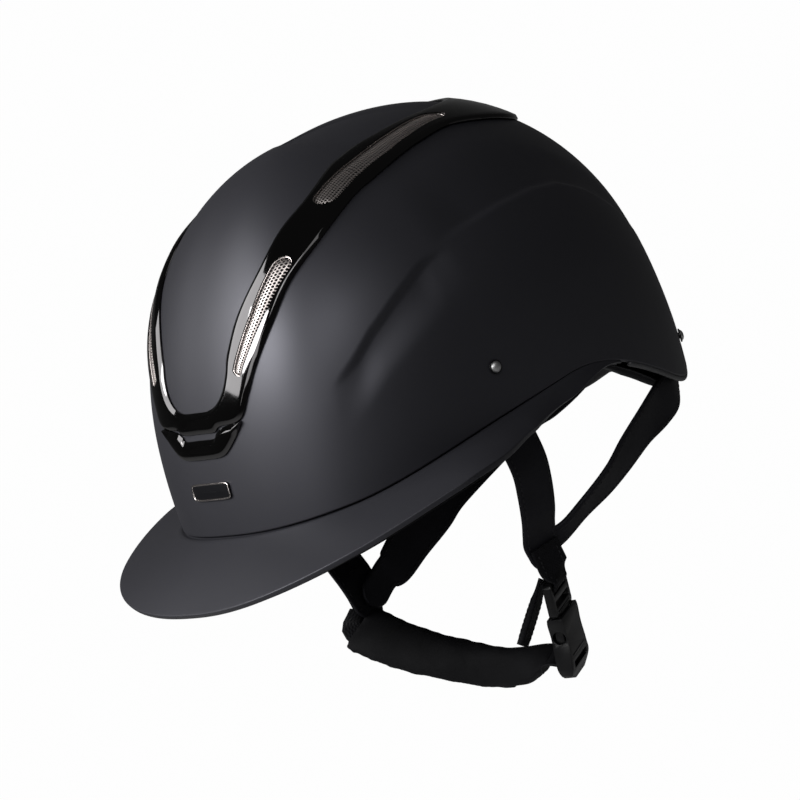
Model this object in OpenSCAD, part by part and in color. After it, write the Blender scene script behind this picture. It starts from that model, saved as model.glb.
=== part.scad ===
// Wide-brim riding helmet with a glossy vent trim, harness and side-release buckle.
// Millimetres. +Z is up, the brim points to -Y and +X is the wearer's left.
// Z = 0 is the plane of the seam between the shell and the brim, at the front.

/* [Shell] */
// Outside width of the shell at its widest level
shell_w = 202; // [190:1:214]
// From the widest section forward to the brow
shell_front = 118; // [112:1:126]
// From the widest section back to the occiput
shell_rear = 162; // [150:1:170]
// Height of the crown over the brim seam
shell_h = 156; // [148:1:164]
// Wall of the moulded shell
shell_wall = 3; // [2.4:0.1:3.6]
// How far the shell drops at the nape
nape_drop = 36; // [32:1:42]
// How far the rim rises over the ear
ear_rise = 6; // [2:0.5:10]
// How far the rim arches up again in the middle of the nape
nape_arch = 5; // [0:0.5:8]
// Depth of the moulded crease along each side
crease_depth = 2.2; // [1:0.1:3]

/* [Brim] */
// Reach of the brim at the front
brim_front = 39; // [30:0.5:46]
// Reach of the brim at its widest, beside the temples
brim_corner = 43; // [34:0.5:50]
// Reach of the brim beside the ear
brim_side = 4; // [3:0.5:8]
// Drop of the brim's edge at the front
brim_drop = 24; // [16:0.5:30]
// Drop of the brim's edge at its widest
brim_side_drop = 6.5; // [4:0.5:9]
// Drop of the brim's edge beside the ear
brim_ear_drop = 10; // [7:0.5:12]
// Thickness of the brim
brim_t = 3.2; // [2.4:0.1:4]
// Thickness of the lining under the brim
lining_t = 0.8; // [0.6:0.1:1.2]

/* [Liner] */
// Impact liner thickness at the sides
eps_side = 15; // [12:0.5:18]
// Impact liner thickness at the brow
eps_front = 21; // [16:0.5:25]
// Impact liner thickness at the back
eps_rear = 28; // [20:0.5:32]
// Impact liner thickness at the crown
eps_top = 23; // [18:0.5:28]
// Thickness of the comfort pads
pad_t = 6; // [4:0.5:8]
// How far the padded hem hangs below the rim
hem_drop = 4; // [3:0.5:8]
// How much higher the inner edge of the hem lies at the nape
nape_bevel = 19; // [10:1:22]
// How far the brow band stands up inside
band_h = 34; // [24:1:44]

/* [Vent trim] */
// Height of the trim over the shell
trim_h = 2.4; // [1.6:0.1:3]
// Length of the chamfered shoulders of the trim, as seen across
trim_chamfer = 2.2; // [1.4:0.1:3]
// Width of the lower mesh windows at their lower end
low_window = 6.2; // [5:0.1:8]
// Width of the lower mesh windows at their upper end
low_window_top = 10.6; // [8:0.1:12]
// Width of the upper mesh windows
high_window = 11.6; // [8:0.1:12]
// Width of the rear mesh window
rear_window = 13; // [10:0.5:16]
// Ledge of the shell that carries a mesh all round
mesh_ledge = 1.3; // [1:0.1:1.8]
// Thickness of the mesh plates
mesh_t = 0.8; // [0.6:0.1:1]
// Width of the web between two mesh holes
mesh_web = 0.9; // [0.7:0.1:1.2]

/* [Badge and rivets] */
// Width of the bare badge plate
badge_w = 34; // [26:0.5:40]
// Height of the badge plate
badge_h = 8.8; // [7:0.1:11]
// Level of the badge's middle
badge_z = 22.3; // [16:0.1:26]
// Diameter of the rivet heads
rivet_d = 7; // [6:0.1:9]
// Diameter of the rivet shanks
shank_d = 3.2; // [2.6:0.1:4]

/* [Harness] */
// Width of the leather side straps
strap_w = 22.5; // [18:0.5:25]
// Width of the side straps' ends where they meet
lap_w = 18; // [15:0.5:20]
// Thickness of the side straps
strap_t = 2.2; // [1.6:0.1:2.8]
// Thickness of the webbing
web_t = 1.6; // [1.2:0.1:2]
// Width of the webbing in the buckle
web_w = 19; // [15:0.5:20]
// Width of the chin pad
chin_w = 27; // [22:0.5:32]
// Thickness of the chin pad at its crown
chin_t = 12; // [8:0.5:15]

/* [Buckle] */
// Width of the buckle
buckle_w = 25; // [23:0.5:28]
// Thickness of the socket half
buckle_t = 8.6; // [7.6:0.1:10]
// Length of the ladder half outside the socket
ladder_l = 18; // [16:0.5:22]
// Length of the socket half
socket_l = 33; // [30:0.5:38]
// How deep the prongs plug in
plug_l = 18; // [15:0.5:20]
// Wall of the socket
socket_wall = 1.7; // [1.4:0.1:2.2]

/* [Fits] */
// Bond line between pieces that are glued or seated
seat = 0.3; // [0.25:0.05:0.4]
// Room between the shell and the impact liner
liner_gap = 0.5; // [0.4:0.05:0.8]
// Room between the impact liner and the pads
pad_gap = 0.8; // [0.7:0.05:1.2]
// Room between the shell and the ends of the straps
tab_gap = 1.2; // [1.1:0.05:1.6]
// Bond line under the vent trim
trim_gap = 0.6; // [0.55:0.05:0.8]
// Room under the shell's edge for the brim
brim_gap = 0.5; // [0.4:0.05:0.7]
// Room round a mesh in its window
mesh_gap = 0.65; // [0.6:0.05:0.8]
// Sliding clearance in the buckle
slide_gap = 0.35; // [0.25:0.05:0.5]

/* [Hidden] */
round_fn = 48;
round_steps = 48;

// The dome is a family of superellipses. Each half has its own length, its own lowest
// level of full width (as a share of the height) and its own pair of crown exponents.
n_front = 2.6;
n_rear = 2.05;
side_curve = [0.256, 2.1, 1.75];
front_curve = [-0.19, 2.1, 1.9];
rear_curve = [0.03, 2.3, 2.5];
none = [0, 0, 0, 0];
// The rows of levels below are drawn for this height of the crown and follow it.
drawn_h = 156;
level_k = shell_h / drawn_h;
function levelled(rows) = [for (q = rows) [q[0], q[1] * level_k, q[2], q[3] * level_k]];

function ease(a, b, x) = let(k = min(1, max(0, (x - a) / (b - a)))) k * k * (3 - 2 * k);
function sgn(x) = x < 0 ? -1 : 1;
function unit(v) = v / norm(v);
function fall(u, c) = u <= c[0] ? 1 - 0.3 * pow(c[0] - u, 2)
    : pow(max(0, 1 - pow((u - c[0]) / (1 - c[0]), c[1])), 1 / c[2]);
function inset(d) = [d, d, d, d];

// Point of the dome at the turn t (0 at the brow, 90 at the left ear) and level z,
// inset by in = [side, front, rear, top]; a negative inset stands proud.
function dome(t, z, in = none) =
    let(u = min(1, z / (shell_h - in[3])), c = cos(t), s = sin(t), m = 2 / (c > 0 ? n_front : n_rear),
        a = (shell_w / 2 - in[0]) * fall(u, side_curve),
        b = c > 0 ? -(shell_front - in[1]) * fall(u, front_curve) : (shell_rear - in[2]) * fall(u,
            rear_curve))
    [a * sgn(s) * pow(abs(s), m), b * pow(abs(c), m), z];
// The turn at which the front of the dome has this x at this level.
function turn_at(x, z) = sgn(x) * asin(pow(min(1, abs(x) / (shell_w / 2 * fall(z / shell_h,
    side_curve))), n_front / 2));
function out_of(t, z) = unit(cross(dome(t + 0.5, z) - dome(t - 0.5, z), dome(t, z + 0.4) - dome(t,
    z - 0.4)));
function proud(t, z, h) = dome(t, z) + h * out_of(t, z);

function folded(t) = abs((t + 540) % 360 - 180);
// Lower edge of the shell: level round the brow, up over the ear and down to the nape.
function rim(t) = let(a = folded(t)) ear_rise * ease(45, 100, a)
    - (ear_rise + nape_drop) * ease(104, 150, a) + nape_arch * ease(150, 165, a);
// How much higher the inner edge of the liner and of the hem lies behind the ears.
function bevel(t) = nape_bevel * ease(104, 138, folded(t));
// The moulded crease starts beside the temple, climbs past the ear and turns back along
// the shoulder of the dome. Its front part is sunk below the line and its rear part above.
crease_line = [[50, 56], [58, 63], [66, 72], [76, 80.5], [88, 89.5], [98, 92.5], [110, 92.5],
    [122, 90], [131, 85], [139, 74], [147, 58], [156, 38], [166, 20]];
function crease_z(a) = lookup(a, crease_line) * level_k;
function crease_front(a) = ease(48, 62, a) * (1 - ease(84, 94, a));
function crease_rear(a) = ease(90, 104, a) * (1 - ease(146, 164, a));
function crease(t, z) = let(a = folded(t), d = z - crease_z(a))
    crease_depth * (crease_front(a) * ease(-1, 5, -d) * (1 - ease(8, 30, -d))
        + crease_rear(a) * ease(-1, 5, d) * (1 - 0.75 * ease(8, 34, d)));

// A closed solid through rings of equal count; each ring runs anticlockwise along the way.
module loft(rings, closed = false) {
    n = len(rings[0]);
    m = len(rings);
    last = closed ? m - 1 : m - 2;
    sides = [for (j = [0 : last], i = [0 : n - 1])
        let(a = j * n + i, b = j * n + (i + 1) % n, c = ((j + 1) % m) * n + (i + 1) % n,
            d = ((j + 1) % m) * n + i)
        each [[a, d, c], [a, c, b]]];
    ends = closed ? [] : [for (i = [1 : n - 2]) each [[0, i, i + 1], [(m - 1) * n, (m - 1) * n + i + 1,
        (m - 1) * n + i]]];
    polyhedron([for (r = rings) each r], concat(sides, ends), convexity = 8);
}

// Smooth curve through hand-set rows of any length (Catmull-Rom), k steps per span.
function spline_at(p, i, f) = let(n = len(p), a = p[max(i - 1, 0)], b = p[i], c = p[min(i + 1, n - 1)],
    d = p[min(i + 2, n - 1)])
    0.5 * (2 * b + (c - a) * f + (2 * a - 5 * b + 4 * c - d) * f * f + (3 * b - a - 3 * c
        + d) * f * f * f);
function spline(p, k) = concat([for (i = [0 : len(p) - 2], j = [0 : k - 1]) spline_at(p, i, j / k)],
    [p[len(p) - 1]]);

// A strap: rows of [x, y, z, wx, wy, wz, width, thickness]; (wx, wy, wz) is the way across.
function strap_ring(q, along) =
    let(p = [q[0], q[1], q[2]], w = unit([q[3], q[4], q[5]] - along * ([q[3], q[4], q[5]] * along)),
        n = cross(along, w), a = q[6] / 2, h = q[7] / 2, e = min(h * 0.7, 1))
    [for (v = [[-a, -h + e], [-a + e, -h], [a - e, -h], [a, -h + e], [a, h - e], [a - e, h],
        [-a + e, h], [-a, h - e]])
        p + w * v[0] + n * v[1]];
function xyz(q) = [q[0], q[1], q[2]];
function strap_rings(rows) = [for (i = [0 : len(rows) - 1])
    strap_ring(rows[i], unit(xyz(rows[min(i + 1, len(rows) - 1)]) - xyz(rows[max(i - 1, 0)])))];
module strap(rows, k = 3) loft(strap_rings(spline(rows, k)));

// Thin domed layers, from the rim up to the crown, between two insets.
function layer_pt(t, f, in, lift) = let(z0 = rim(t) + lift, h = shell_h - in[3],
    p = asin(max(-0.9, z0 / h)))
    dome(t, h * sin(p + (90 - p) * f), in);
// creased = [outer face, inner face]; nz and ni are the rows of the two faces; slope is
// how much of the bevel the inner face starts above the outer one.
module dome_layer(out, in, lift, nz, ni, creased, slope = 0) {
    nt = round_steps;
    face_pt = function(t, f, d, c, up) let(p = layer_pt(t, f, d, lift + up))
        c ? p - crease(t, p[2]) * out_of(t, p[2]) : p;
    grid = function(d, n, c, k) [for (j = [0 : n - 1], i = [0 : nt - 1]) let(t = 360 * i / nt)
        face_pt(t, j / n, d, c, k * bevel(t))];
    sheet = function(k, n) concat([for (j = [0 : n - 2], i = [0 : nt - 1])
        let(a = k + j * nt + i, b = k + j * nt + (i + 1) % nt) each [[a, a + nt, b + nt],
            [a, b + nt, b]]],
        [for (i = [0 : nt - 1]) [k + (n - 1) * nt + i, k + n * nt, k + (n - 1) * nt + (i + 1) % nt]]);
    k = nt * nz + 1;
    edge = [for (i = [0 : nt - 1]) let(a = i, b = (i + 1) % nt) each [[a, b, b + k],
        [a, b + k, a + k]]];
    polyhedron(concat(grid(out, nz, creased[0], 0), [[0, 0, shell_h - out[3]]],
        grid(in, ni, creased[1], slope), [[0, 0, shell_h - in[3]]]),
        concat(sheet(0, nz), [for (f = sheet(k, ni)) [f[0], f[2], f[1]]], edge), convexity = 10);
}

// Vent trim. Each row gives the inner and the outer edge, as turn and level, from the
// middle of the brow, up one arm and round to the middle of the back.
trim_rows = levelled([[0, 60, 0, 50], [3.6, 60.3, 4.6, 50.1], [6.8, 62.6, 7.0, 52.4],
    [9.8, 68, 15.2, 53.9], [11.8, 75, 19.7, 64.2], [13.4, 84, 25, 77], [19, 99, 33.5, 91.5],
    [29, 113, 44.7, 106.3],
    [43.4, 126.8, 62.5, 117.8], [62.6, 134.9, 80, 126], [81.9, 141.2, 93, 130], [95.9, 144, 104, 132.4],
    [108, 144.4, 115.3, 133.2], [125, 143.6, 130, 131.9], [144, 141, 145, 124], [162, 138.5, 160, 115],
    [180, 137.5, 180, 111]]);
trim_end = len(trim_rows) - 1;
function trim_row(s) = let(i = min(floor(s), trim_end - 1), f = s - i) trim_rows[i] * (1 - f)
    + trim_rows[i + 1] * f;
// The rows go on past both ends, mirrored, so that the band crosses the middle square on.
trim_run = concat([[-trim_rows[1][0], trim_rows[1][1], -trim_rows[1][2], trim_rows[1][3]]], trim_rows,
    [[360 - trim_rows[trim_end - 1][0], trim_rows[trim_end - 1][1], 360 - trim_rows[trim_end - 1][2],
        trim_rows[trim_end - 1][3]]]);
function trim_smooth(s) = let(i = min(floor(s), trim_end - 1)) spline_at(trim_run, i + 1, s - i);
function trim_pt(s, v, h) = let(r = trim_smooth(s)) proud(r[0] + (r[2] - r[0]) * v,
    r[1] + (r[3] - r[1]) * v, h);
function trim_wide(s) = norm(trim_pt(s, 1, 0) - trim_pt(s, 0, 0));
function flip(p) = [-p[0], p[1], p[2]];
// Heights over the shell of the band's section, outer edge first, along the bottom and
// back over the top.
function band_ring(row, top = trim_h) =
    let(p = function(v, h) proud(row[0] + (row[2] - row[0]) * v, row[1] + (row[3] - row[1]) * v, h),
        wide = norm(p(1, 0) - p(0, 0)), e = min(0.3, trim_chamfer / wide))
    [p(1, trim_gap), p(0.5, trim_gap), p(0, trim_gap), p(0, top * 0.4), p(e, top), p(0.5, top + 0.2),
        p(1 - e, top), p(1, top * 0.4)];

// Windows: [first station, last station, share across at the start, middle and end, width
// at the start and at the end].
low_mesh = [4.38, 7.48, 0.52, 0.58, 0.57, low_window, low_window_top];
high_mesh = [8.85, 13.5, 0.45, 0.53, 0.40, high_window, high_window];
function window_s(w, f) = w[0] + (w[1] - w[0]) * f;
function window_v(w, f) = f < 0.5 ? w[2] + (w[3] - w[2]) * 2 * f : w[3] + (w[4] - w[3]) * (2 * f - 1);
// A point of a window at the share f along and y millimetres across.
function window_pt(w, f, y, h) = let(s = window_s(w, f)) trim_pt(s, window_v(w, f) + y / trim_wide(s),
    h);
// The rear window runs across the middle at one level.
rear_turn = 17;
rear_level = 122.5 * level_k;
function rear_pt(f, y, h) = let(t = 180 - rear_turn * (2 * f - 1), z = rear_level - 2 * pow(2 * f - 1,
    2))
    proud(t, z, h) + unit(dome(t, z + 1) - dome(t, z)) * y;
function mesh_pt(w, f, y, h) = w == undef ? rear_pt(f, y, h) : window_pt(w, f, y, h);
function mesh_wide(w, f) = w == undef ? rear_window : w[5] + (w[6] - w[5]) * f;
// Length of a window along its middle.
function mesh_long(w, k = 12) = let(p = [for (i = [0 : k]) mesh_pt(w, i / k, 0, 0)]) sum([for (i = [1
    : k]) norm(p[i] - p[i - 1])]);
function sum(v, i = 0) = i < len(v) ? v[i] + sum(v, i + 1) : 0;

// A slot with round ends that follows a window through the wall, from depth to height and
// narrower than the window by less on each side.
slot_fn = 8;
module slot_cut(w, less, deep, high, k) {
    start = mesh_wide(w, 0) / 2 / mesh_long(w);
    end = mesh_wide(w, 1) / 2 / mesh_long(w);
    for (i = [0 : k - 1]) hull() for (j = [i, i + 1]) {
        f = start + (1 - start - end) * j / k;
        r = mesh_wide(w, f) / 2 - less;
        a = mesh_pt(w, f, 0, -deep);
        n = mesh_pt(w, f, 0, high) - a;
        translate(a) rotate([0, acos(n[2] / norm(n)), atan2(n[1], n[0])]) rotate([0, 0, 180 / slot_fn])
            cylinder(h = norm(n), r = r / cos(180 / slot_fn), $fn = slot_fn);
    }
}
// All the slots; steps is the number of pieces in each.
module vent_slots(less, deep, high, steps) {
    for (m = [0, 1]) mirror([m, 0, 0]) {
        slot_cut(low_mesh, less, deep, high, steps[0]);
        slot_cut(high_mesh, less, deep, high, steps[1]);
    }
    slot_cut(undef, less, deep, high, steps[2]);
}

// A domed plate of na by nb cells in a window, each cell with a four-sided hole.
module mesh_plate(w, na, nb) {
    long = mesh_long(w);
    cell = long / na;
    pitch = (mesh_wide(w, 0.5) - 2 * mesh_gap) / nb;
    ha = 0.5 - mesh_web / 2 / cell;
    hb = 0.5 - mesh_web / 2 / pitch;
    // Half width at the share f: the ends are round. Within a cell its edges are straight.
    half = function(f) let(d = min(f, 1 - f) * long, r = mesh_wide(w, f) / 2 - mesh_gap)
        d >= r ? r : sqrt(max(0.16 * r * r, r * r - (r - d) * (r - d)));
    half_at = function(a) let(i = min(floor(a), na - 1))
        half(i / na) * (1 - a + i) + half((i + 1) / na) * (a - i);
    trimmed = function(f) (3 * mesh_gap + (long - 6 * mesh_gap) * f) / long;
    at = function(a, b, h) mesh_pt(w, trimmed(a / na), (2 * b / nb - 1) * half_at(a), h);
    nc = (na + 1) * (nb + 1);
    nh = 4 * na * nb;
    corners = function(h) [for (a = [0 : na], b = [0 : nb]) at(a, b, h)];
    holes = function(h) [for (a = [0 : na - 1], b = [0 : nb - 1])
        each [at(a + 0.5 + ha, b + 0.5, h), at(a + 0.5, b + 0.5 + hb, h), at(a + 0.5 - ha, b + 0.5, h),
            at(a + 0.5, b + 0.5 - hb, h)]];
    flat = function(c, o) [for (a = [0 : na - 1], b = [0 : nb - 1])
        let(sw = c + a * (nb + 1) + b, nw = sw + 1, se = sw + nb + 1, ne = se + 1,
            e = o + 4 * (a * nb + b), n = e + 1, x = e + 2, s = e + 3)
        each [[sw, se, s], [se, ne, e], [ne, nw, n], [nw, sw, x], [sw, s, x], [se, e, s], [ne, n, e],
            [nw, x, n]]];
    turn = function(f) [for (t = f) [t[0], t[2], t[1]]];
    walls = [for (k = [0 : na * nb - 1], i = [0 : 3]) let(a = 2 * nc + 4 * k + i, b = 2 * nc + 4 * k
        + (i + 1) % 4)
        each [[a, b, b + nh], [a, b + nh, a + nh]]];
    edge = concat([for (a = [0 : na]) a * (nb + 1)], [for (b = [1 : nb]) na * (nb + 1) + b],
        [for (a = [1 : na]) (na - a) * (nb + 1) + nb], [for (b = [1 : nb - 1]) nb - b]);
    rim_faces = [for (i = [0 : len(edge) - 1]) let(a = edge[i], b = edge[(i + 1) % len(edge)])
        each [[a, b + nc, b], [a, a + nc, b + nc]]];
    polyhedron(concat(corners(seat + mesh_t), corners(seat), holes(seat + mesh_t), holes(seat)),
        concat(flat(0, 2 * nc), turn(flat(nc, 2 * nc + nh)), walls, rim_faces), convexity = 10);
}

// Where a rivet sits: its turn and level. The shank runs along the wall's normal.
side_rivet = [90, 28];
rear_rivet = [157, -20];
module at_rivet(r) {
    n = out_of(r[0], r[1]);
    translate(dome(r[0], r[1])) rotate([0, acos(n[2]), atan2(n[1], n[0])]) children();
}
module all_rivets() for (m = [0, 1]) mirror([m, 0, 0]) for (r = [side_rivet,
    rear_rivet]) at_rivet(r) children();
tab_deep = shell_wall + tab_gap;
washer_t = 1;
washer_d = rivet_d + 3;
washer_deep = tab_deep + strap_t + 2 * seat;
shank_end = washer_deep + washer_t + 0.7;

eps_out = inset(shell_wall + liner_gap);
eps_in = eps_out + [eps_side, eps_front, eps_rear, eps_top];
pad_out = eps_in + inset(pad_gap);
pad_in = pad_out + inset(pad_t);

module outer_shell() color("#3c3c40") difference() {
    dome_layer(none, inset(shell_wall), 0, 11, 11, [true, true]);
    vent_slots(mesh_ledge, shell_wall + 3, 2, [2, 3, 2]);
    all_rivets() translate([0, 0, -shell_wall - 2]) cylinder(h = shell_wall + 4, d = shank_d + 0.6,
        $fn = 12);
}

// Room in the impact liner for a strap's end, for its washer and for the rivet's tail.
strap_room = 0.7;
module impact_liner() color("#2a2a2c") difference() {
    dome_layer(eps_out, eps_in, 1, 11, 9, [true, false], slope = 1);
    vent_slots(mesh_ledge + 0.4, shell_wall + max(eps_side, eps_front, eps_rear, eps_top) + 12, 2,
        [1, 2, 1]);
    for (m = [0, 1]) mirror([m, 0, 0]) {
        for (r = [side_rivet, rear_rivet]) at_rivet(r) translate([0, 0, -shank_end - 1])
            cylinder(h = shank_end + 4, d = washer_d + 2, $fn = 12);
        loft(strap_rings(tab_path(side_way, strap_room)));
        loft(strap_rings(tab_path(m == 0 ? rear_way : rear_way_right, 2 * strap_room)));
    }
}

module vent_trim() color("#101014") difference() {
    rows = [for (s = [0 : 0.5 : trim_end]) trim_smooth(s)];
    n = len(rows);
    loft([for (i = [0 : 2 * n - 3]) i < n ? band_ring(rows[i])
        : [for (p = band_ring(rows[2 * n - 2 - i])) flip(p)]], closed = true);
    vent_slots(0, 1, trim_h + 3, [5, 7, 3]);
}
// The lip under the trim leaves an air slot between them at the middle of the brow.
lip_rows = levelled([[0, 47.2, 0, 37.8], [4.1, 47.3, 3.6, 37.9], [5.2, 49.4, 6.2, 38.5],
    [7.4, 51.6, 8.4, 40.5], [11.4, 52.7, 11.8, 45.6], [15, 53.4, 15.2, 51.6]]);
module front_scoop() color("#131318") {
    r = spline(lip_rows, 2);
    n = len(r);
    loft(concat([for (i = [n - 1 : -1 : 1]) [for (p = band_ring(r[i], trim_h - 0.2)) flip(p)]],
        [for (q = r) band_ring(q, trim_h - 0.2)]));
}

// Reach and drop of the brim's edge by turn: it widens to the temples, swings in to the
// ears and runs on behind them as a hanging band that fades out.
brim_end = 118;
function brim_reach(a) = (brim_front + (brim_corner - brim_front) * ease(0, 50, a)
    - (brim_corner - brim_side) * ease(68, 101, a)) * (1 - 0.85 * ease(100, brim_end, a));
function brim_fall(a) = (brim_drop - (brim_drop - brim_side_drop) * ease(0, 74, a)
    + (brim_ear_drop - brim_side_drop) * ease(70, 86, a)) * (1 - 0.88 * ease(101, brim_end, a));
function brim_wall(a) = brim_t * (1 - 0.6 * ease(100, brim_end, a));
function plan_out(t) = let(n = out_of(t, rim(t))) unit([n[0], n[1], 0]);
// Point of the brim at the share f of its reach, this deep under its upper face.
function brim_pt(t, f, deep = 0) = let(a = folded(t), r = brim_reach(a), d = brim_fall(a),
    n = norm([r, d]))
    dome(t, rim(t) - brim_gap, inset(0.3)) + plan_out(t) * (r * f - d / n * deep)
    + [0, 0, -d * (0.75 * f + 0.25 * f * f) - r / n * deep];
function root_pt(t, in, down) = dome(t, rim(t) - brim_gap, inset(in)) - [0, 0, down];
brim_turns = [for (i = [-20 : 20]) brim_end * i / 20];
module brim() color("#46464a") loft([for (t = brim_turns) let(k = brim_wall(folded(t)))
    [brim_pt(t, 0.985, k * 0.95), brim_pt(t, 0.5, k), brim_pt(t, 0.06, k), root_pt(t, shell_wall,
        k + 0.6),
        root_pt(t, shell_wall, 0), brim_pt(t, 0), brim_pt(t, 0.25), brim_pt(t, 0.5), brim_pt(t, 0.75),
        brim_pt(t, 0.97, 0.1), brim_pt(t, 1, 0.35 * k), brim_pt(t, 1, 0.7 * k)]]);
lining_turns = [for (i = [-13 : 13]) brim_end * i / 20];
module brim_lining() color("#18181a") loft([for (t = lining_turns) let(k = brim_wall(folded(t))
    + 2 * seat)
    [brim_pt(t, 0.95, k + lining_t), brim_pt(t, 0.5, k + lining_t), brim_pt(t, 0.1, k + lining_t),
        brim_pt(t, 0.1, k), brim_pt(t, 0.5, k), brim_pt(t, 0.95, k)]]);

// Piping under the shell's edge from ear to ear round the back.
bead_r = 1.3;
bead_start = brim_end + 3;
module rim_beading() color("#202022") loft([for (i = [0 : 26]) let(t = bead_start
    + (360 - 2 * bead_start) * i / 26, p = dome(t, rim(t) - seat - bead_r, inset(shell_wall / 2)),
        q = dome(t + 1, rim(t + 1) - seat - bead_r, inset(shell_wall / 2)), d = unit(q - p),
            n = unit(cross(d, [0, 0, 1])), b = cross(d, n))
    [for (a = [0 : 60 : 300]) p + bead_r * (n * cos(a) + b * sin(a))]]);

// A bare plate with a raised border, bent to the brow.
module badge_plate() color("#3a3a3e") loft([for (i = [-6 : 6]) let(x = badge_w / 2 * i / 6,
    m = i * i == 36 ? 0.4 : 0.9,
        p = function(z, h) proud(turn_at(x, badge_z + z), badge_z + z, h), h = badge_h / 2)
    [p(-h, seat), p(h, seat), p(h, seat + m), p(h - 0.7, seat + m + 0.5), p(h - 1.4, seat + m),
        p(1.4 - h, seat + m), p(0.7 - h, seat + m + 0.5), p(-h, seat + m)]]);

module rivets() color("#1c1c1e") all_rivets() {
    translate([0, 0, seat]) rotate_extrude($fn = round_fn) polygon([[0, 0], [rivet_d / 2, 0],
        [rivet_d / 2, 0.8],
        [rivet_d / 2 - 0.9, 1.0], [rivet_d / 2 - 1.0, 0.8], [rivet_d / 2 - 1.5, 1.3],
            [rivet_d / 4, 1.9], [0, 2.1]]);
    translate([0, 0, -shank_end]) cylinder(h = shank_end + seat + 0.2, d = shank_d, $fn = round_fn);
}
module rivet_washers() color("#8a8a8e") all_rivets() translate([0, 0,
    -washer_deep - washer_t]) difference() {
    cylinder(h = washer_t, d = washer_d, $fn = round_fn);
    translate([0, 0, -1]) cylinder(h = washer_t + 2, d = shank_d + 0.3, $fn = round_fn);
}

// The brow band lines the impact liner and turns out under it as a padded hem, which is
// pinched where the brim's tail meets the rim and flattens out across the nape.
hem_pinch = 0.6;
hem_flat = 0.7;
function part_way(k) = eps_out + (eps_in - eps_out) * k;
function hem(a) = hem_drop * (1 - hem_pinch * ease(108, 114, a) * (1 - ease(118, 124, a)))
    * (1 - hem_flat * ease(130, 148, a));
module brow_band() color("#161618") loft([for (i = [0 : round_steps - 1])
    let(t = 360 * i / round_steps, r = rim(t), d = hem(folded(t)), v = bevel(t), top = 1 - 4 * seat,
        p = function(in, z) dome(t, r + z, in))
    [p(part_way(0.25), top), p(part_way(0.25), top - 0.2 * d), p(part_way(0.32), -d),
        p(part_way(0.85), 0.85 * v - d), p(pad_in, v + 4 - d), p(pad_in, 0.6 * v + band_h - 4),
        p(pad_out + inset(pad_t / 2), 0.6 * v + band_h), p(pad_out, 0.96 * v + top)]], closed = true);
module crown_pad() color("#19191c") {
    // Two channels across the pad are pressed in by stepping its inner face.
    z0 = 92;
    nt = 24;
    nz = 5;
    o = function(t, f) let(h = shell_h - pad_out[3], p = asin(z0 / h)) dome(t,
        h * sin(p + (90 - p) * f), pad_out);
    s = function(t, f, j) let(q = pad_out + inset(pad_t * (j == 0 ? 0.45 : j == 3 ? 0.7 : 1)),
        h = shell_h - q[3], p = asin(z0 / h))
        dome(t, h * sin(p + (90 - p) * f), q);
    top = nt * nz;
    k = top + 1;
    polyhedron(concat([for (j = [0 : nz - 1], i = [0 : nt - 1]) o(15 * i, j / nz)],
        [[0, 0, shell_h - pad_out[3]]],
            [for (j = [0 : nz - 1], i = [0 : nt - 1]) s(15 * i, j / nz, j)],
                [[0, 0, shell_h - pad_in[3]]]),
        concat([for (j = [0 : nz - 2], i = [0 : nt - 1]) let(a = j * nt + i, b = j * nt + (i + 1) % nt,
            c = b + nt, d = a + nt)
                each [[a, d, c], [a, c, b], [a + k, c + k, d + k], [a + k, b + k, c + k]]],
            [for (i = [0 : nt - 1]) let(a = (nz - 1) * nt + i, b = (nz - 1) * nt
                + (i + 1) % nt) each [[a, top, b], [a + k, b + k, top + k]]],
            [for (i = [0 : nt - 1]) let(a = i, b = (i + 1) % nt) each [[a, b, b + k],
                [a, b + k, a + k]]]), convexity = 6);
}

// Harness. The straps hang from the rivets and meet under each ear; the chin strap
// swings about the line through the two laps.
pivot_left = [73.5, 1, -70];
pivot_right = [-73, -15, -75];
swing_axis = unit(pivot_left - pivot_right);
lap_down = unit(cross([0, 1, 0], swing_axis));
lap_across = cross(swing_axis, lap_down);
lap_r = lap_w / 2;
// On both sides the webbing lies outside the front strap and the rear strap inside it.
function web_lap(m) = swing_axis * m * (strap_t / 2 + seat + web_t / 2);
function rear_lap(m) = -swing_axis * m * (strap_t + seat);
function row(p, w, wide, t) = [p[0], p[1], p[2], w[0], w[1], w[2], wide, t];
// A strap's round end past the middle of a lap.
function round_end(c, d, w, r, t) = [for (a = [0, 25, 50, 70, 82]) row(c + d * (r * sin(a)), w,
    2 * r * cos(a), t)];
function back(v) = [for (i = [len(v) - 1 : -1 : 0]) v[i]];

// The ends of the straps follow the inside of the shell: rows of [turn, level, how much deeper].
tab_in = tab_deep + strap_t / 2;
side_way = [[90, 37], [90, 28], [90, 14], [90, 4], [90, -6]];
rear_way = [[165, -6], [157, -20], [150, -33, 1.9], [144, -44, 3]];
rear_way_right = [[165, -6], [157, -20], [149.5, -28.5, 1.2], [141.5, -34.5, 1.4], [134, -38, 1.8]];
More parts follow.
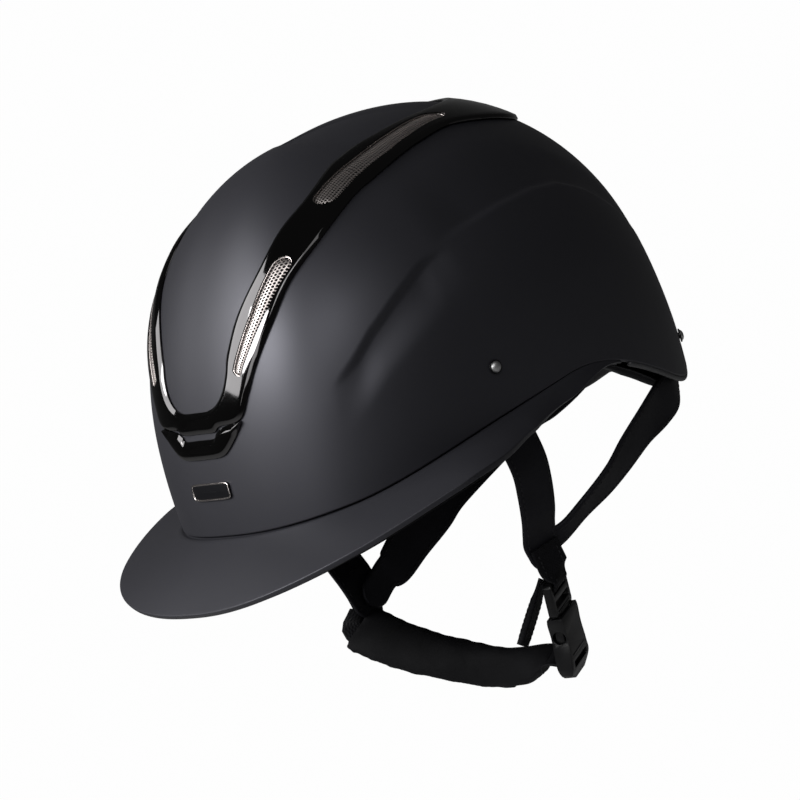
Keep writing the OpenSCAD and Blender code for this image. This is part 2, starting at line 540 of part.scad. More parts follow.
// With room above 0 the rows give the pocket round the tab, open to the shell.
function tab_path(way, room = 0) = [for (i = [0 : len(way) - 1])
    let(q = way[i], a = way[max(i - 1, 0)], b = way[min(i + 1, len(way) - 1)], open = room > 0
        ? tab_gap + 1 : 0,
        p = dome(q[0], q[1], inset(tab_in - open / 2 + (q[2] == undef ? 0 : q[2]))), d = dome(b[0],
            b[1]) - dome(a[0], a[1]), w = cross(out_of(q[0], q[1]), unit(d)))
    row(p, w, strap_w + 2 * room, strap_t + 2 * room + open)];
function mirrored(rows) = [for (q = rows) [-q[0], q[1], q[2], -q[3], q[4], q[5], q[6], q[7]]];
function side_tab(m) = m > 0 ? tab_path(side_way) : mirrored(tab_path(side_way));
function rear_tab(m) = m > 0 ? [for (i = [0 : 2]) tab_path(rear_way)[i]]
    : mirrored(tab_path(rear_way_right));
// Direction v laid into the plane of the laps.
function in_lap(v) = unit(v - swing_axis * (v * swing_axis));
function front_rows(m, way, c) = concat(side_tab(m), [for (q = way) row([q[0], q[1], q[2]],
    [q[3], q[4], q[5]], strap_w, strap_t)],
    [for (d = [21, 13]) row(c - lap_down * d, m * lap_across, strap_w, strap_t)],
        round_end(c, lap_down, m * lap_across, lap_r, strap_t));
front_left_rows = front_rows(1, [[90.5, 2.4, -24, 0, 1, 0.08], [82.5, 3.4, -42, 0, 1, 0.1]],
    pivot_left);
front_right_rows = front_rows(-1, [[-89.5, -7, -26, 0, -1, 0.2], [-81, -12, -47, 0, -1, 0.15]],
    pivot_right);
function rear_rows(m, way, c, d) = let(e = in_lap(d), w = cross(swing_axis, e)) concat(rear_tab(m),
    [for (q = way) row([q[0], q[1], q[2]], [q[3], q[4], q[5]], strap_w, strap_t)],
    [for (d = [22, 13]) row(c + rear_lap(m) - e * d, w, strap_w, strap_t)], round_end(c + rear_lap(m),
        e, w, lap_r, strap_t));
rear_left_rows = rear_rows(1, [[50, 122, -44.5, -0.70, 0.15, -0.62], [60, 105, -44, -0.66, 0.18, -0.74],
    [67, 84, -46, -0.62, 0.18, -0.76], [70, 66, -51, -0.6, 0.16, -0.78], [71.5, 51, -56, -0.58, 0.1,
        -0.8],
    [71.5, 34, -62, -0.4, -0.05, -0.9]], pivot_left, [0, -0.96, -0.2]);
rear_right_rows = rear_rows(-1, [[-68, 82, -43.5, 0.2, 0, -0.98], [-70.5, 61, -51, 0.05, -0.15, -1],
    [-71, 38, -58.5, 0, -0.2, -1]], pivot_right, [0, -0.93, -0.33]);

module rivet_hole(m, r) mirror([m, 0, 0]) at_rivet(r) translate([0, 0, -20]) cylinder(h = 22,
    d = shank_d + 0.5, $fn = round_fn);
module front_strap_left() color("#222226") difference() {
    strap(front_left_rows);
    rivet_hole(0, side_rivet);
}
module front_strap_right() color("#222226") difference() {
    strap(front_right_rows);
    rivet_hole(1, side_rivet);
}
module rear_strap_left() color("#26262a") difference() {
    strap(rear_left_rows, 2);
    rivet_hole(0, rear_rivet);
}
module rear_strap_right() color("#26262a") difference() {
    strap(rear_right_rows, 2);
    rivet_hole(1, rear_rivet);
}

// The buckle's own frame: X out of the cheek, Y across, Z up from the socket.
buckle_at = [73.4, 0.2, -83.6];
buckle_tilt = [-4, 10.4];
buckle_yaw = 33;
function turned(v) = let(a = [v[0] * cos(buckle_yaw) - v[1] * sin(buckle_yaw), v[0] * sin(buckle_yaw)
    + v[1] * cos(buckle_yaw), v[2]],
        b = [a[0], a[1] * cos(buckle_tilt[0]) - a[2] * sin(buckle_tilt[0]), a[1] * sin(buckle_tilt[0])
            + a[2] * cos(buckle_tilt[0])])
    [b[0] * cos(buckle_tilt[1]) + b[2] * sin(buckle_tilt[1]), b[1], -b[0] * sin(buckle_tilt[1])
        + b[2] * cos(buckle_tilt[1])];
function in_buckle(p) = buckle_at + turned(p);
module at_buckle() translate(buckle_at) rotate([buckle_tilt[0], buckle_tilt[1], 0]) rotate([0, 0,
    buckle_yaw]) children();
// A flat profile, drawn across and up, with this thickness.
module slab(t) rotate([90, 0, 90]) linear_extrude(height = t, center = true) children();
module soft_rect(w, h, r) { // from the middle of its top edge down
    translate([-w / 2 + r, -h]) square([w - 2 * r, h]);
    translate([-w / 2, -h + r]) square([w, h - 2 * r]);
    for (x = [-1, 1], y = [-r, r - h]) translate([x * (w / 2 - r), y]) circle(r = r, $fn = round_fn);
}

ladder_t = 4.2;
bar_w = 3;
slot_h = 3.8;
plug_t = buckle_t - 2 * socket_wall - 2 * slide_gap;
plug_w = buckle_w - 2 * socket_wall - 2 * slide_gap;
prong_eye = 1.6;
prong_root = [plug_w / 2 - prong_eye - 0.2, -ladder_l - 1.2];
module buckle_ladder() color("#141416") at_buckle() {
    slab(ladder_t) difference() {
        soft_rect(buckle_w, ladder_l - seat, 2.2);
        for (i = [0, 1]) translate([0, -bar_w - i * (slot_h + bar_w)]) soft_rect(web_w + 1.2, slot_h,
            0.9);
        for (x = [-1, 1]) translate([x * prong_root[0], prong_root[1]]) circle(r = prong_eye + seat,
            $fn = round_fn);
    }
    slab(2) translate([0, -ladder_l + 1]) soft_rect(4.4, plug_l - 2, 1);
    slab(plug_t) translate([0, -ladder_l + 2]) soft_rect(plug_w - 4 * prong_eye - 3, 5, 0.8);
    for (x = [-1, 1]) translate([x * (ladder_t / 2 - 0.1), 0, -ladder_l + 2.6]) rotate([90, 0, 0])
        cylinder(h = web_w - 2, r = 0.5, center = true, $fn = 24);
}
// A sprung prong: eye, arm and the rounded pad that shows in the socket's window.
module prong_shape() {
    r = prong_root;
    polygon(concat([for (a = [-30 : 15 : 210]) r + prong_eye * [cos(a), sin(a)]],
        [[plug_w / 2 - 3.4, r[1] - 8],
        [plug_w / 2 - 3.2, r[1] - plug_l + 1.6], [plug_w / 2 - 1.4, r[1] - plug_l + 2.2],
            [plug_w / 2, r[1] - 12.6],
        [plug_w / 2, r[1] - 7.4], [plug_w / 2 - 0.6, r[1] - 5.2]]));
}
module prong_front() color("#1a1a1d") at_buckle() slab(plug_t) mirror([1, 0]) prong_shape();
module prong_back() color("#1a1a1d") at_buckle() slab(plug_t) prong_shape();

// The socket's outline across, from its mouth down to the arched end.
socket_top = -ladder_l;
function socket_half(f) = buckle_w / 2 - 1.1 * pow(sin(180 * min(1, f / 0.62)), 2) * (f < 0.62 ? 1 : 0)
    + 0.9 * ease(0.6, 0.85, f) - 6 * pow(max(0, (f - 0.86) / 0.14), 2.4);
function socket_deep(f) = buckle_t / 2 - 0.5 * (1 - ease(0, 0.08, f)) - 2.2 * ease(0.75, 1, f);
module outline(half) polygon(concat([for (i = [0 : 20]) [half(i / 20), socket_top - socket_l * i / 20]],
    [for (i = [20 : -1 : 0]) [-half(i / 20), socket_top - socket_l * i / 20]]));
module buckle_socket() color("#121214") at_buckle() difference() {
    union() {
        intersection() {
            slab(30) outline(function(f) socket_half(f));
            rotate([90, 0, 0]) linear_extrude(height = 40,
                center = true) outline(function(f) socket_deep(f));
        }
        for (i = [0 : 3], x = [-1, 1]) translate([x * (buckle_t / 2 - 0.6 - 0.32 * i), 0,
            socket_top - socket_l * 0.62 - i * 2.3])
            rotate([90, 0, 0]) cylinder(h = buckle_w - 7, r = 0.9, center = true, $fn = 24);
    }
    translate([0, 0, socket_top - plug_l / 2]) cube([buckle_t - 2 * socket_wall,
        buckle_w - 2 * socket_wall, plug_l + 2.4], center = true);
    translate([0, 0, socket_top - 10.2]) rotate([90, 0, 0]) cylinder(h = 40, r = 3.4, center = true,
        $fn = round_fn);
    slab(30) translate([0, socket_top - socket_l + 9.4]) soft_rect(web_w + 1, 3.6, 0.9);
}

// Webbing from the lap down over the ladder's top bar and in through its upper slot.
web_over = ladder_t / 2 + seat + web_t / 2;
bar_across = turned([0, 1, 0]);
hanger_rows = concat(back(round_end(pivot_left + web_lap(1), -lap_down, lap_across, web_w / 2, web_t)),
    [row(pivot_left + web_lap(1) + lap_down * (lap_r + seat), lap_across, web_w, web_t),
        row(in_buckle([web_over, 0, 0.3]), bar_across, web_w, web_t),
        row(in_buckle([web_over, 0, -2.6]), bar_across, web_w, web_t),
            row(in_buckle([web_over - 1.1, 0, -4.4]), bar_across, web_w, web_t),
        row(in_buckle([0.6, 0, -4.9]), bar_across, web_w, web_t),
            row(in_buckle([-web_over + 0.5, 0, -4.4]), bar_across, web_w, web_t),
        row(in_buckle([-web_over, 0, -2.6]), bar_across, web_w, web_t),
            row(in_buckle([-web_over, 0, -0.5]), bar_across, web_w, web_t)]);
module hanger_strap() color("#202024") strap(hanger_rows, 2);

// The loose end, doubled and stitched, hangs inside the ladder.
tail_top = in_buckle([-web_over - 2 * seat - web_t, 0, -1]);
tail_way = [-0.42, -0.55, -0.72];
tail_rows = [row(tail_top, bar_across, web_w, web_t), row(tail_top + turned(tail_way * 6), bar_across,
    web_w, web_t),
    row(tail_top + turned(tail_way * 12), bar_across, web_w, web_t * 1.9),
        row(tail_top + turned(tail_way * 26), bar_across, web_w, web_t * 2.1),
    row(tail_top + turned(tail_way * 38), bar_across, web_w, web_t * 1.9)];
module strap_tail() color("#242428") strap(tail_rows);

// Chin strap and its pad: rows run from the right lap under the chin to the socket.
chin_rows = [row([-75, -24, -93], [0, -0.9, -0.44], chin_w + 3, chin_t * 0.6),
    row([-66, -22.5, -99], [0, -0.86, -0.5], chin_w + 4, chin_t * 0.8),
    row([-50, -20, -107], [0, -0.76, -0.64], chin_w + 2, chin_t), row([-30, -17.5, -114],
        [0, -0.66, -0.75], chin_w, chin_t),
    row([-8, -10, -123.5], [0, -0.4, -0.92], chin_w - 1, chin_t), row([8, -7.5, -127],
        [0.05, -0.22, -0.97], chin_w - 2, chin_t * 0.95),
    row([28, -6.5, -127.5], [0.2, -0.5, -0.84], chin_w - 5, chin_t * 0.8), row([44, -6.5, -125.5],
        [0.45, -0.7, -0.5], web_w + 1, chin_t * 0.6),
    row([53, -7, -124.5], [0.54, -0.8, -0.25], web_w, chin_t * 0.4)];
// The pad's edges are drawn in and its crown swells; light gathers run across it.
gathers = 9;
function pad_ring(q, along, i) =
    let(w = unit([q[3], q[4], q[5]] - along * ([q[3], q[4], q[5]] * along)), n = cross(along, w),
        g = 1 + 0.035 * cos(360 * gathers * i), a = q[6] / 2 * g, h = q[7] / 2)
    [for (k = [0 : 11]) let(u = 360 * k / 12) xyz(q) + w * (a * sgn(cos(u)) * pow(abs(cos(u)), 0.8))
        + n * (h * sgn(sin(u)) * pow(abs(sin(u)), 1.15))];
module chin_pad() color("#2c2c30") {
    r = spline(chin_rows, 4);
    m = len(r);
    loft([for (i = [0 : m - 1]) pad_ring(r[i], unit(xyz(r[min(i + 1, m - 1)]) - xyz(r[max(i - 1, 0)])),
        i / (m - 1))]);
}
function as_web(q) = [q[0], q[1], q[2], q[3], q[4], q[5], web_w, web_t];
slot_z = socket_top - socket_l + 9.4 - 1.8;
web_rows = concat(back(round_end(pivot_right + web_lap(-1), -lap_down, -lap_across, web_w / 2, web_t)),
    [row(pivot_right + web_lap(-1) * 1.2 + lap_down * 13, -lap_across, web_w, web_t)],
        [for (q = chin_rows) as_web(q)],
    [row(in_buckle([-9, 0, slot_z + 1]), -bar_across, web_w, web_t), row(in_buckle([-4.4, 0, slot_z]),
        -bar_across, web_w, web_t),
        row(in_buckle([2.5, 0, slot_z]), -bar_across, web_w, web_t)]);
module chin_strap() color("#232327") strap(web_rows, 2);

module mesh_low_left() color("#6b5f58") mesh_plate(low_mesh, 10, 3);
module mesh_low_right() color("#6b5f58") mirror([1, 0, 0]) mesh_plate(low_mesh, 10, 3);
module mesh_high_left() color("#6b5f58") mesh_plate(high_mesh, 14, 3);
module mesh_high_right() color("#6b5f58") mirror([1, 0, 0]) mesh_plate(high_mesh, 14, 3);
module mesh_rear() color("#6b5f58") mesh_plate(undef, 8, 3);

outer_shell();
brim();
brim_lining();
rim_beading();
impact_liner();
vent_trim();
front_scoop();
mesh_low_left();
mesh_low_right();
mesh_high_left();
mesh_high_right();
mesh_rear();
badge_plate();
rivets();
rivet_washers();
brow_band();
crown_pad();
front_strap_left();
front_strap_right();
rear_strap_left();
rear_strap_right();
hanger_strap();
strap_tail();
chin_strap();
chin_pad();
buckle_ladder();
prong_front();
prong_back();
buckle_socket();
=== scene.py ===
"""Looks of a wide-brim riding helmet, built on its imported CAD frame.

Surface functions work in millimetres, and meshes are made in metres. +Z is up, the brim
points to -Y and +X is the wearer's left. A place on the shell is its turn, in degrees from
the brow towards +X, and its level in millimetres over the seam of the brim.
"""
import math

import bmesh
import bpy
import numpy as np
from mathutils import Matrix


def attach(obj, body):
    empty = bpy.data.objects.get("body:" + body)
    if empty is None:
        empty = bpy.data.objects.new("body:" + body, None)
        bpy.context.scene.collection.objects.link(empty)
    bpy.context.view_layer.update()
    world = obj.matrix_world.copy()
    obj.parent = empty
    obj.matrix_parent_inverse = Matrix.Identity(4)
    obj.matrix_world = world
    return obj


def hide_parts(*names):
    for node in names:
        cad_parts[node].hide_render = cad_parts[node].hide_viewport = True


bl_info = {
    "name": "Riding Helmet",
    "version": (1, 0, 0),
    "blender": (4, 5, 0),
    "location": "3D View > Sidebar > Helmet",
    "description": "Builds a wide-brim riding helmet with its vent trim, harness and stage",
    "category": "Add Mesh",
}

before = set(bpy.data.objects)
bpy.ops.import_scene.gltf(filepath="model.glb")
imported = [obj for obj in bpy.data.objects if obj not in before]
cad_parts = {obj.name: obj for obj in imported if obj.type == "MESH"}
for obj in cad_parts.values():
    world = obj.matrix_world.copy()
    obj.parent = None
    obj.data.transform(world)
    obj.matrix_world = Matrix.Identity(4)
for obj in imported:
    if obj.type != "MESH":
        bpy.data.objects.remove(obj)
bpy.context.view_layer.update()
MM = 0.001
ALL_ROUND = (1, 1, 1, 1)  # the same inset at the side, front, rear and top


# The dome
SIDE_CURVE, FRONT_CURVE, REAR_CURVE = (0.256, 2.1, 1.75), (-0.19, 2.1, 1.9), (0.03, 2.3, 2.5)
FRONT_PLAN, REAR_PLAN = 2.6, 2.05
CREASE_TURN = (50, 58, 66, 76, 88, 98, 110, 122, 131, 139, 147, 156, 166)
CREASE_LEVEL = (56, 63, 72, 80.5, 89.5, 92.5, 92.5, 90, 85, 74, 58, 38, 20)
EAR_RISE, REAR_FALL, NAPE_RISE, REAR_BEVEL = 6, 42, 5, 19


def ease(a, b, x):
    """Smooth step from 0 at a to 1 at b: k squared times (3 - 2k)."""
    k = np.clip((np.asarray(x, float) - a) / (b - a), 0, 1)
    return k * k * (3 - 2 * k)


def unit(v):
    """Vectors scaled to length 1."""
    return v / np.maximum(np.linalg.norm(v, axis=-1, keepdims=True), 1e-12)


def folded(t):
    """The turn from the brow, 0 to 180 on either side."""
    return np.abs((np.asarray(t, float) + 540) % 360 - 180)


def fall(u, c):
    """Share of the full width left at the share u of the height: one below the level c[0],
    then a superellipse with the exponents c[1] and c[2]."""
    k = np.clip((u - c[0]) / (1 - c[0]), 0, 1)
    over = np.maximum(0, 1 - k ** c[1]) ** (1 / c[2])
    return np.where(u <= c[0], 1 - 0.3 * (c[0] - u) ** 2, over)


def shape():
    """The sizes that the panel holds."""
    return bpy.context.scene.helmet_shape


def inset_by(depth):
    """The same inset all round."""
    return tuple(depth * k for k in ALL_ROUND)


def dome(t, z, inset=(0, 0, 0, 0)):
    """Point of the dome at the turn t and the level z, inset by side, front, rear and top:
    x = a sign(sin t) |sin t|^m, y = b |cos t|^m, with a and b falling with z."""
    s = shape()
    t, z = np.broadcast_arrays(np.asarray(t, float), np.asarray(z, float))
    c, n = np.cos(np.radians(t)), np.sin(np.radians(t))
    u = np.minimum(1, z / (s.height / MM - inset[3]))
    m = np.where(c > 0, 2 / FRONT_PLAN, 2 / REAR_PLAN)
    a = (s.width / MM / 2 - inset[0]) * fall(u, SIDE_CURVE)
    b = np.where(c > 0, -(s.front / MM - inset[1]) * fall(u, FRONT_CURVE),
                 (s.rear / MM - inset[2]) * fall(u, REAR_CURVE))
    return np.stack([a * np.sign(n) * np.abs(n) ** m, b * np.abs(c) ** m, z], -1)


def out_of(t, z):
    """Outward normal of the dome, the cross product of its two differences."""
    return unit(np.cross(dome(t + 0.5, z) - dome(t - 0.5, z), dome(t, z + 0.4) - dome(t, z - 0.4)))


def proud(t, z, h):
    """Point h millimetres over the dome."""
    return dome(t, z) + np.asarray(h, float)[..., None] * out_of(t, z)


def turn_at(x, z):
    """The turn at which the front of the dome has this x at this level."""
    half = shape().width / MM / 2 * fall(z / (shape().height / MM), SIDE_CURVE)
    k = np.minimum(1, np.abs(x) / half)
    return np.sign(x) * np.degrees(np.arcsin(k ** (FRONT_PLAN / 2)))


def rim(t):
    """Lower edge of the shell: level at the brow, up over the ear, down behind it and up
    again a little across the nape."""
    a = folded(t)
    return (EAR_RISE * ease(45, 100, a) - REAR_FALL * ease(104, 150, a)
            + NAPE_RISE * ease(150, 165, a))


def bevel(t):
    """How much higher the inner edge of the liner and of the hem lies behind the ears."""
    return REAR_BEVEL * ease(104, 138, folded(t))


def crease(t, z):
    """Depth of the moulded crease. Its line climbs past the ear and turns back along the
    shoulder; the shell is sunk below the line in front of the ear and above it behind."""
    a = folded(t)
    d = z - np.interp(a, CREASE_TURN, CREASE_LEVEL)
    front = ease(48, 62, a) * (1 - ease(84, 94, a)) * ease(-0.5, 3.2, -d) * (1 - ease(6, 26, -d))
    rear = (ease(90, 104, a) * (1 - ease(146, 164, a)) * ease(-0.5, 3.6, d)
            * (1 - 0.75 * ease(8, 34, d)))
    return shape().crease / MM * (front + rear)


def layer(t, f, inset):
    """Point of a creased layer at the share f of the way from the rim up to the crown; the
    level follows a sine, so that the rows close up evenly on the crown."""
    h = shape().height / MM - inset[3]
    p = np.arcsin(np.maximum(-0.9, rim(t) / h))
    z = h * np.sin(p + (np.pi / 2 - p) * f)
    below_crown = np.minimum(z, h - 0.5)
    return dome(t, z, inset) - crease(t, z)[..., None] * out_of(t, below_crown)


# Mesh making
def mesh_object(name, points, faces, material, uv=None, smooth=True, weld=True):
    """An object from points in millimetres and a list of face arrays. Doubles are merged and
    the faces turned outwards; uv holds one pair for each point."""
    mesh = bpy.data.meshes.new(name)
    mesh.from_pydata((np.asarray(points) * MM).tolist(), [],
                     [f for block in faces for f in block.tolist()])
    if uv is not None:
        loops = np.empty(len(mesh.loops), np.int32)
        mesh.loops.foreach_get("vertex_index", loops)
        pairs = np.asarray(uv, np.float32)[loops].ravel()
        mesh.uv_layers.new(name="UVMap").data.foreach_set("uv", pairs)
    bm = bmesh.new()
    bm.from_mesh(mesh)
    if weld:
        bmesh.ops.remove_doubles(bm, verts=bm.verts, dist=2e-6)
        bmesh.ops.dissolve_degenerate(bm, edges=bm.edges, dist=1e-7)
    bmesh.ops.recalc_face_normals(bm, faces=bm.faces)
    bm.to_mesh(mesh)
    bm.free()
    set_smooth(mesh, smooth)
    obj = bpy.data.objects.new(name, mesh)
    bpy.context.scene.collection.objects.link(obj)
    mesh.materials.append(material)
    return obj


def set_smooth(mesh, smooth=True):
    """Shades all faces smooth or flat."""
    mesh.polygons.foreach_set("use_smooth", [smooth] * len(mesh.polygons))


def quads(nu, nv, wrap_u, wrap_v):
    """Faces of a grid of nu by nv points, wrapped round either way."""
    i, j = np.meshgrid(np.arange(nu if wrap_u else nu - 1),
                       np.arange(nv if wrap_v else nv - 1), indexing="ij")
    a, b = i.ravel(), j.ravel()
    c, d = (a + 1) % nu, (b + 1) % nv
    return np.stack([a * nv + b, c * nv + b, c * nv + d, a * nv + d], 1)


def surface(name, grid, material, wrap_u=False, wrap_v=True, ends=False, uv=None, smooth=True):
    """A mesh from a grid of points [along, round]; ends closes both ends with a fan."""
    nu, nv = grid.shape[:2]
    points = grid.reshape(-1, 3)
    faces = [quads(nu, nv, wrap_u, wrap_v)]
    uvs = None if uv is None else uv.reshape(-1, 2)
    if ends:
        k = np.arange(nv)
        on, last = (k + 1) % nv, (nu - 1) * nv
        points = np.concatenate([points, [grid[0].mean(0), grid[-1].mean(0)]])
        faces += [np.stack([np.full(nv, nu * nv), k, on], 1),
                  np.stack([np.full(nv, nu * nv + 1), last + on, last + k], 1)]
        if uvs is not None:
            uvs = np.concatenate([uvs, uv[0].mean(0)[None], uv[-1].mean(0)[None]])
    return mesh_object(name, points, faces, material, uvs, smooth)


def catmull(a, b, c, d, f):
    """Catmull-Rom point at the share f of the span from b to c."""
    return 0.5 * (2 * b + (c - a) * f + (2 * a - 5 * b + 4 * c - d) * f ** 2
                  + (3 * b - a - 3 * c + d) * f ** 3)


def spline(rows, k, closed=False):
    """Catmull-Rom curve through the rows, k steps in each span."""
    p = np.asarray(rows, float)
    n = len(p)
    spans = n if closed else n - 1
    i = np.repeat(np.arange(spans), k)
    f = np.tile(np.arange(k) / k, spans)[:, None]
    at = [j % n if closed else np.clip(j, 0, n - 1) for j in (i - 1, i, i + 1, i + 2)]
    q = catmull(*[p[j] for j in at], f)
    return q if closed else np.concatenate([q, p[-1:]])


def circle(n):
    """n points of the unit circle."""
    a = np.linspace(0, 2 * np.pi, n + 1)[:-1]
    return np.stack([np.cos(a), np.sin(a)], 1)


def seated(obj, body, slot, *nodes):
    """Rides the piece on its body and hides the CAD nodes that it stands for; the slot is not
    used.
    """
    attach(obj, body)
    if nodes:
        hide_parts(*nodes)
    return obj


def shade(obj, angle):
    """Keeps edges sharper than the angle crisp and the rest smooth."""
    bm = bmesh.new()
    bm.from_mesh(obj.data)
    limit = math.radians(angle)
    for e in bm.edges:
        e.smooth = len(e.link_faces) == 2 and e.calc_face_angle(0) < limit
    bm.to_mesh(obj.data)
    bm.free()


def carve(obj, cutters):
    """Cuts the cutters out of the piece with exact booleans and applies them."""
    for cutter in cutters:
        m = obj.modifiers.new("carve", "BOOLEAN")
        m.operation, m.solver, m.object = "DIFFERENCE", "EXACT", cutter
    apply_all(obj)
    for cutter in cutters:
        bpy.data.objects.remove(cutter, do_unlink=True)


def apply_all(obj):
    """Bakes the piece's modifiers into its mesh."""
    bpy.context.view_layer.update()
    graph = bpy.context.evaluated_depsgraph_get()
    baked = bpy.data.meshes.new_from_object(obj.evaluated_get(graph))
    obj.modifiers.clear()
    old = obj.data
    obj.data = baked
    bpy.data.meshes.remove(old)


# Materials
def group(name, inputs):
    """A new shader node group with the named inputs, a Height and a Cloud that come out."""
    tree = bpy.data.node_groups.new(name, "ShaderNodeTree")
    for label, kind, value in [("Vector", "NodeSocketVector", None), *inputs]:
        s = tree.interface.new_socket(name=label, in_out="INPUT", socket_type=kind)
        if value is not None:
            s.default_value = value
    for label in ("Height", "Cloud"):
        tree.interface.new_socket(name=label, in_out="OUTPUT", socket_type="NodeSocketFloat")
    return tree, tree.nodes.new("NodeGroupInput"), tree.nodes.new("NodeGroupOutput")


def node(tree, kind, links=(), **values):
    """A node with attributes or input values set and inputs linked: (input, socket)."""
    n = tree.nodes.new(kind)
    for key, value in values.items():
        if hasattr(n, key) and key not in n.inputs:
            setattr(n, key, value)
        else:
            n.inputs[key.replace("_", " ")].default_value = value
    for key, socket in links:
        tree.links.new(socket, n.inputs[key])
    return n


def math_node(tree, operation, a, b=None, clamp=False):
    """A Math node; a and b are sockets or numbers."""
    n = tree.nodes.new("ShaderNodeMath")
    n.operation, n.use_clamp = operation, clamp
    for i, v in enumerate((a, b)):
        if v is None:
            continue
        if isinstance(v, (int, float)):
            n.inputs[i].default_value = v
        else:
            tree.links.new(v, n.inputs[i])
    return n.outputs[0]


def noise(tree, vector, **values):
    """A Noise Texture on the vector."""
    return node(tree, "ShaderNodeTexNoise", [("Vector", vector)], **values)


def grain_group():
    """Moulded grain: fine noise for height, slow noise for uneven gloss and tone."""
    if "Moulded grain" in bpy.data.node_groups:
        return bpy.data.node_groups["Moulded grain"]
    t, i, o = group("Moulded grain", [("Fine", "NodeSocketFloat", 900.0),
                                      ("Slow", "NodeSocketFloat", 18.0)])
    fine = noise(t, i.outputs["Vector"], Detail=3.0)
    slow = noise(t, i.outputs["Vector"], Detail=4.0)
    t.links.new(i.outputs["Fine"], fine.inputs["Scale"])
    t.links.new(i.outputs["Slow"], slow.inputs["Scale"])
    t.links.new(fine.outputs["Fac"], o.inputs["Height"])
    t.links.new(slow.outputs["Fac"], o.inputs["Cloud"])
    return t


def weave_group():
    """Woven cloth on the UV map in millimetres: the product of two crossed sines, one yarn
    over the other, with a slower noise for uneven yarn."""
    if "Weave" in bpy.data.node_groups:
        return bpy.data.node_groups["Weave"]
    t, i, o = group("Weave", [("Yarn", "NodeSocketFloat", 0.7)])
    part = node(t, "ShaderNodeSeparateXYZ", [("Vector", i.outputs["Vector"])])
    waves = []
    for axis in ("X", "Y"):
        steps = math_node(t, "DIVIDE", part.outputs[axis], i.outputs["Yarn"])
        waves.append(math_node(t, "SINE", math_node(t, "MULTIPLY", steps, math.pi)))
    over = math_node(t, "MULTIPLY", *waves)
    height = math_node(t, "ADD", math_node(t, "MULTIPLY", over, 0.5), 0.5)
    cloud = noise(t, i.outputs["Vector"], Scale=0.35, Detail=3.0)
    t.links.new(height, o.inputs["Height"])
    t.links.new(cloud.outputs["Fac"], o.inputs["Cloud"])
    return t


def leather_group():
    """Pebbled leather: rounded cells with creases between them and a slow wear cloud."""
    if "Leather" in bpy.data.node_groups:
        return bpy.data.node_groups["Leather"]
    t, i, o = group("Leather", [("Scale", "NodeSocketFloat", 700.0)])
    warp = noise(t, i.outputs["Vector"], Scale=260.0, Detail=2.0)
    moved = node(t, "ShaderNodeMixRGB", [("Color1", i.outputs["Vector"]),
                                         ("Color2", warp.outputs["Color"])], Fac=0.004)
    cell = node(t, "ShaderNodeTexVoronoi", [("Vector", moved.outputs["Color"]),
                                            ("Scale", i.outputs["Scale"])],
                feature="DISTANCE_TO_EDGE")
    edge = math_node(t, "MULTIPLY", cell.outputs["Distance"], 2.2, clamp=True)
    cloud = noise(t, i.outputs["Vector"], Scale=34.0, Detail=4.0)
    t.links.new(math_node(t, "POWER", edge, 0.6), o.inputs["Height"])
    t.links.new(cloud.outputs["Fac"], o.inputs["Cloud"])
    return t


COOL, PLAIN = (0.89, 0.89, 1.0), (1.0, 1.0, 1.0)  # tints of the gloss


def finish(name, pair, rough, pattern, values, bump, uv=False, metallic=0.0, specular=0.5,
           tint=PLAIN):
    """A finished material: the pattern's cloud mixes the two tones and moves the roughness
    over its span, and the pattern's height feeds a bump of this strength and distance."""
    if name in bpy.data.materials:
        return bpy.data.materials[name]
    mat = bpy.data.materials.new(name)
    mat.use_nodes = True
    t = mat.node_tree
    p = t.nodes["Principled BSDF"]
    p.inputs["Metallic"].default_value = metallic
    p.inputs["Specular IOR Level"].default_value = specular
    p.inputs["Specular Tint"].default_value = (*tint, 1)
    where = t.nodes.new("ShaderNodeTexCoord")
    g = t.nodes.new("ShaderNodeGroup")
    g.node_tree = pattern
    t.links.new(where.outputs["UV" if uv else "Object"], g.inputs["Vector"])
    for key, value in values.items():
        g.inputs[key].default_value = value
    share = node(t, "ShaderNodeMapRange", [("Value", g.outputs["Cloud"])],
                 From_Min=0.35, From_Max=0.65)
    mix = node(t, "ShaderNodeMixRGB", [("Fac", share.outputs["Result"])],
               Color1=(*pair[0], 1), Color2=(*pair[1], 1))
    gloss = node(t, "ShaderNodeMapRange", [("Value", g.outputs["Cloud"])],
                 From_Min=0.3, From_Max=0.7, To_Min=rough[0], To_Max=rough[0] + rough[1])
    relief = node(t, "ShaderNodeBump", [("Height", g.outputs["Height"])],
                  Strength=bump[0], Distance=bump[1] * MM)
    t.links.new(mix.outputs["Color"], p.inputs["Base Color"])
    t.links.new(gloss.outputs["Result"], p.inputs["Roughness"])
    t.links.new(relief.outputs["Normal"], p.inputs["Normal"])
    return mat


def tones(key, high, low):
    """The panel's colour of this key, scaled to the two tones of a finish."""
    colour = getattr(bpy.context.scene.helmet_finish, key)
    return [tuple(min(1.0, c * k) for c in colour) for k in (high, low)]


def m_shell():
    return finish("Soft-touch shell", tones("shell", 1, 0.94), (0.43, 0.04), grain_group(), {},
                  (0.12, 0.05), tint=COOL)


def m_brim():
    return finish("Soft-touch brim", tones("shell", 1, 0.93), (0.46, 0.04), grain_group(), {},
                  (0.12, 0.05), specular=0.42, tint=COOL)


def m_trim():
    return finish("Black chrome", tones("trim", 1, 0.9), (0.05, 0.02), grain_group(),
                  {"Fine": 60.0}, (0.01, 0.02), metallic=1.0)


def m_grille():
    return finish("Grille metal", tones("grille", 1, 0.8), (0.4, 0.08), grain_group(),
                  {"Fine": 500.0}, (0.1, 0.02), metallic=1.0)


def m_rim():
    return finish("Window rim metal", tones("grille", 1.2, 1), (0.14, 0.05), grain_group(), {},
                  (0.04, 0.01), metallic=1.0)


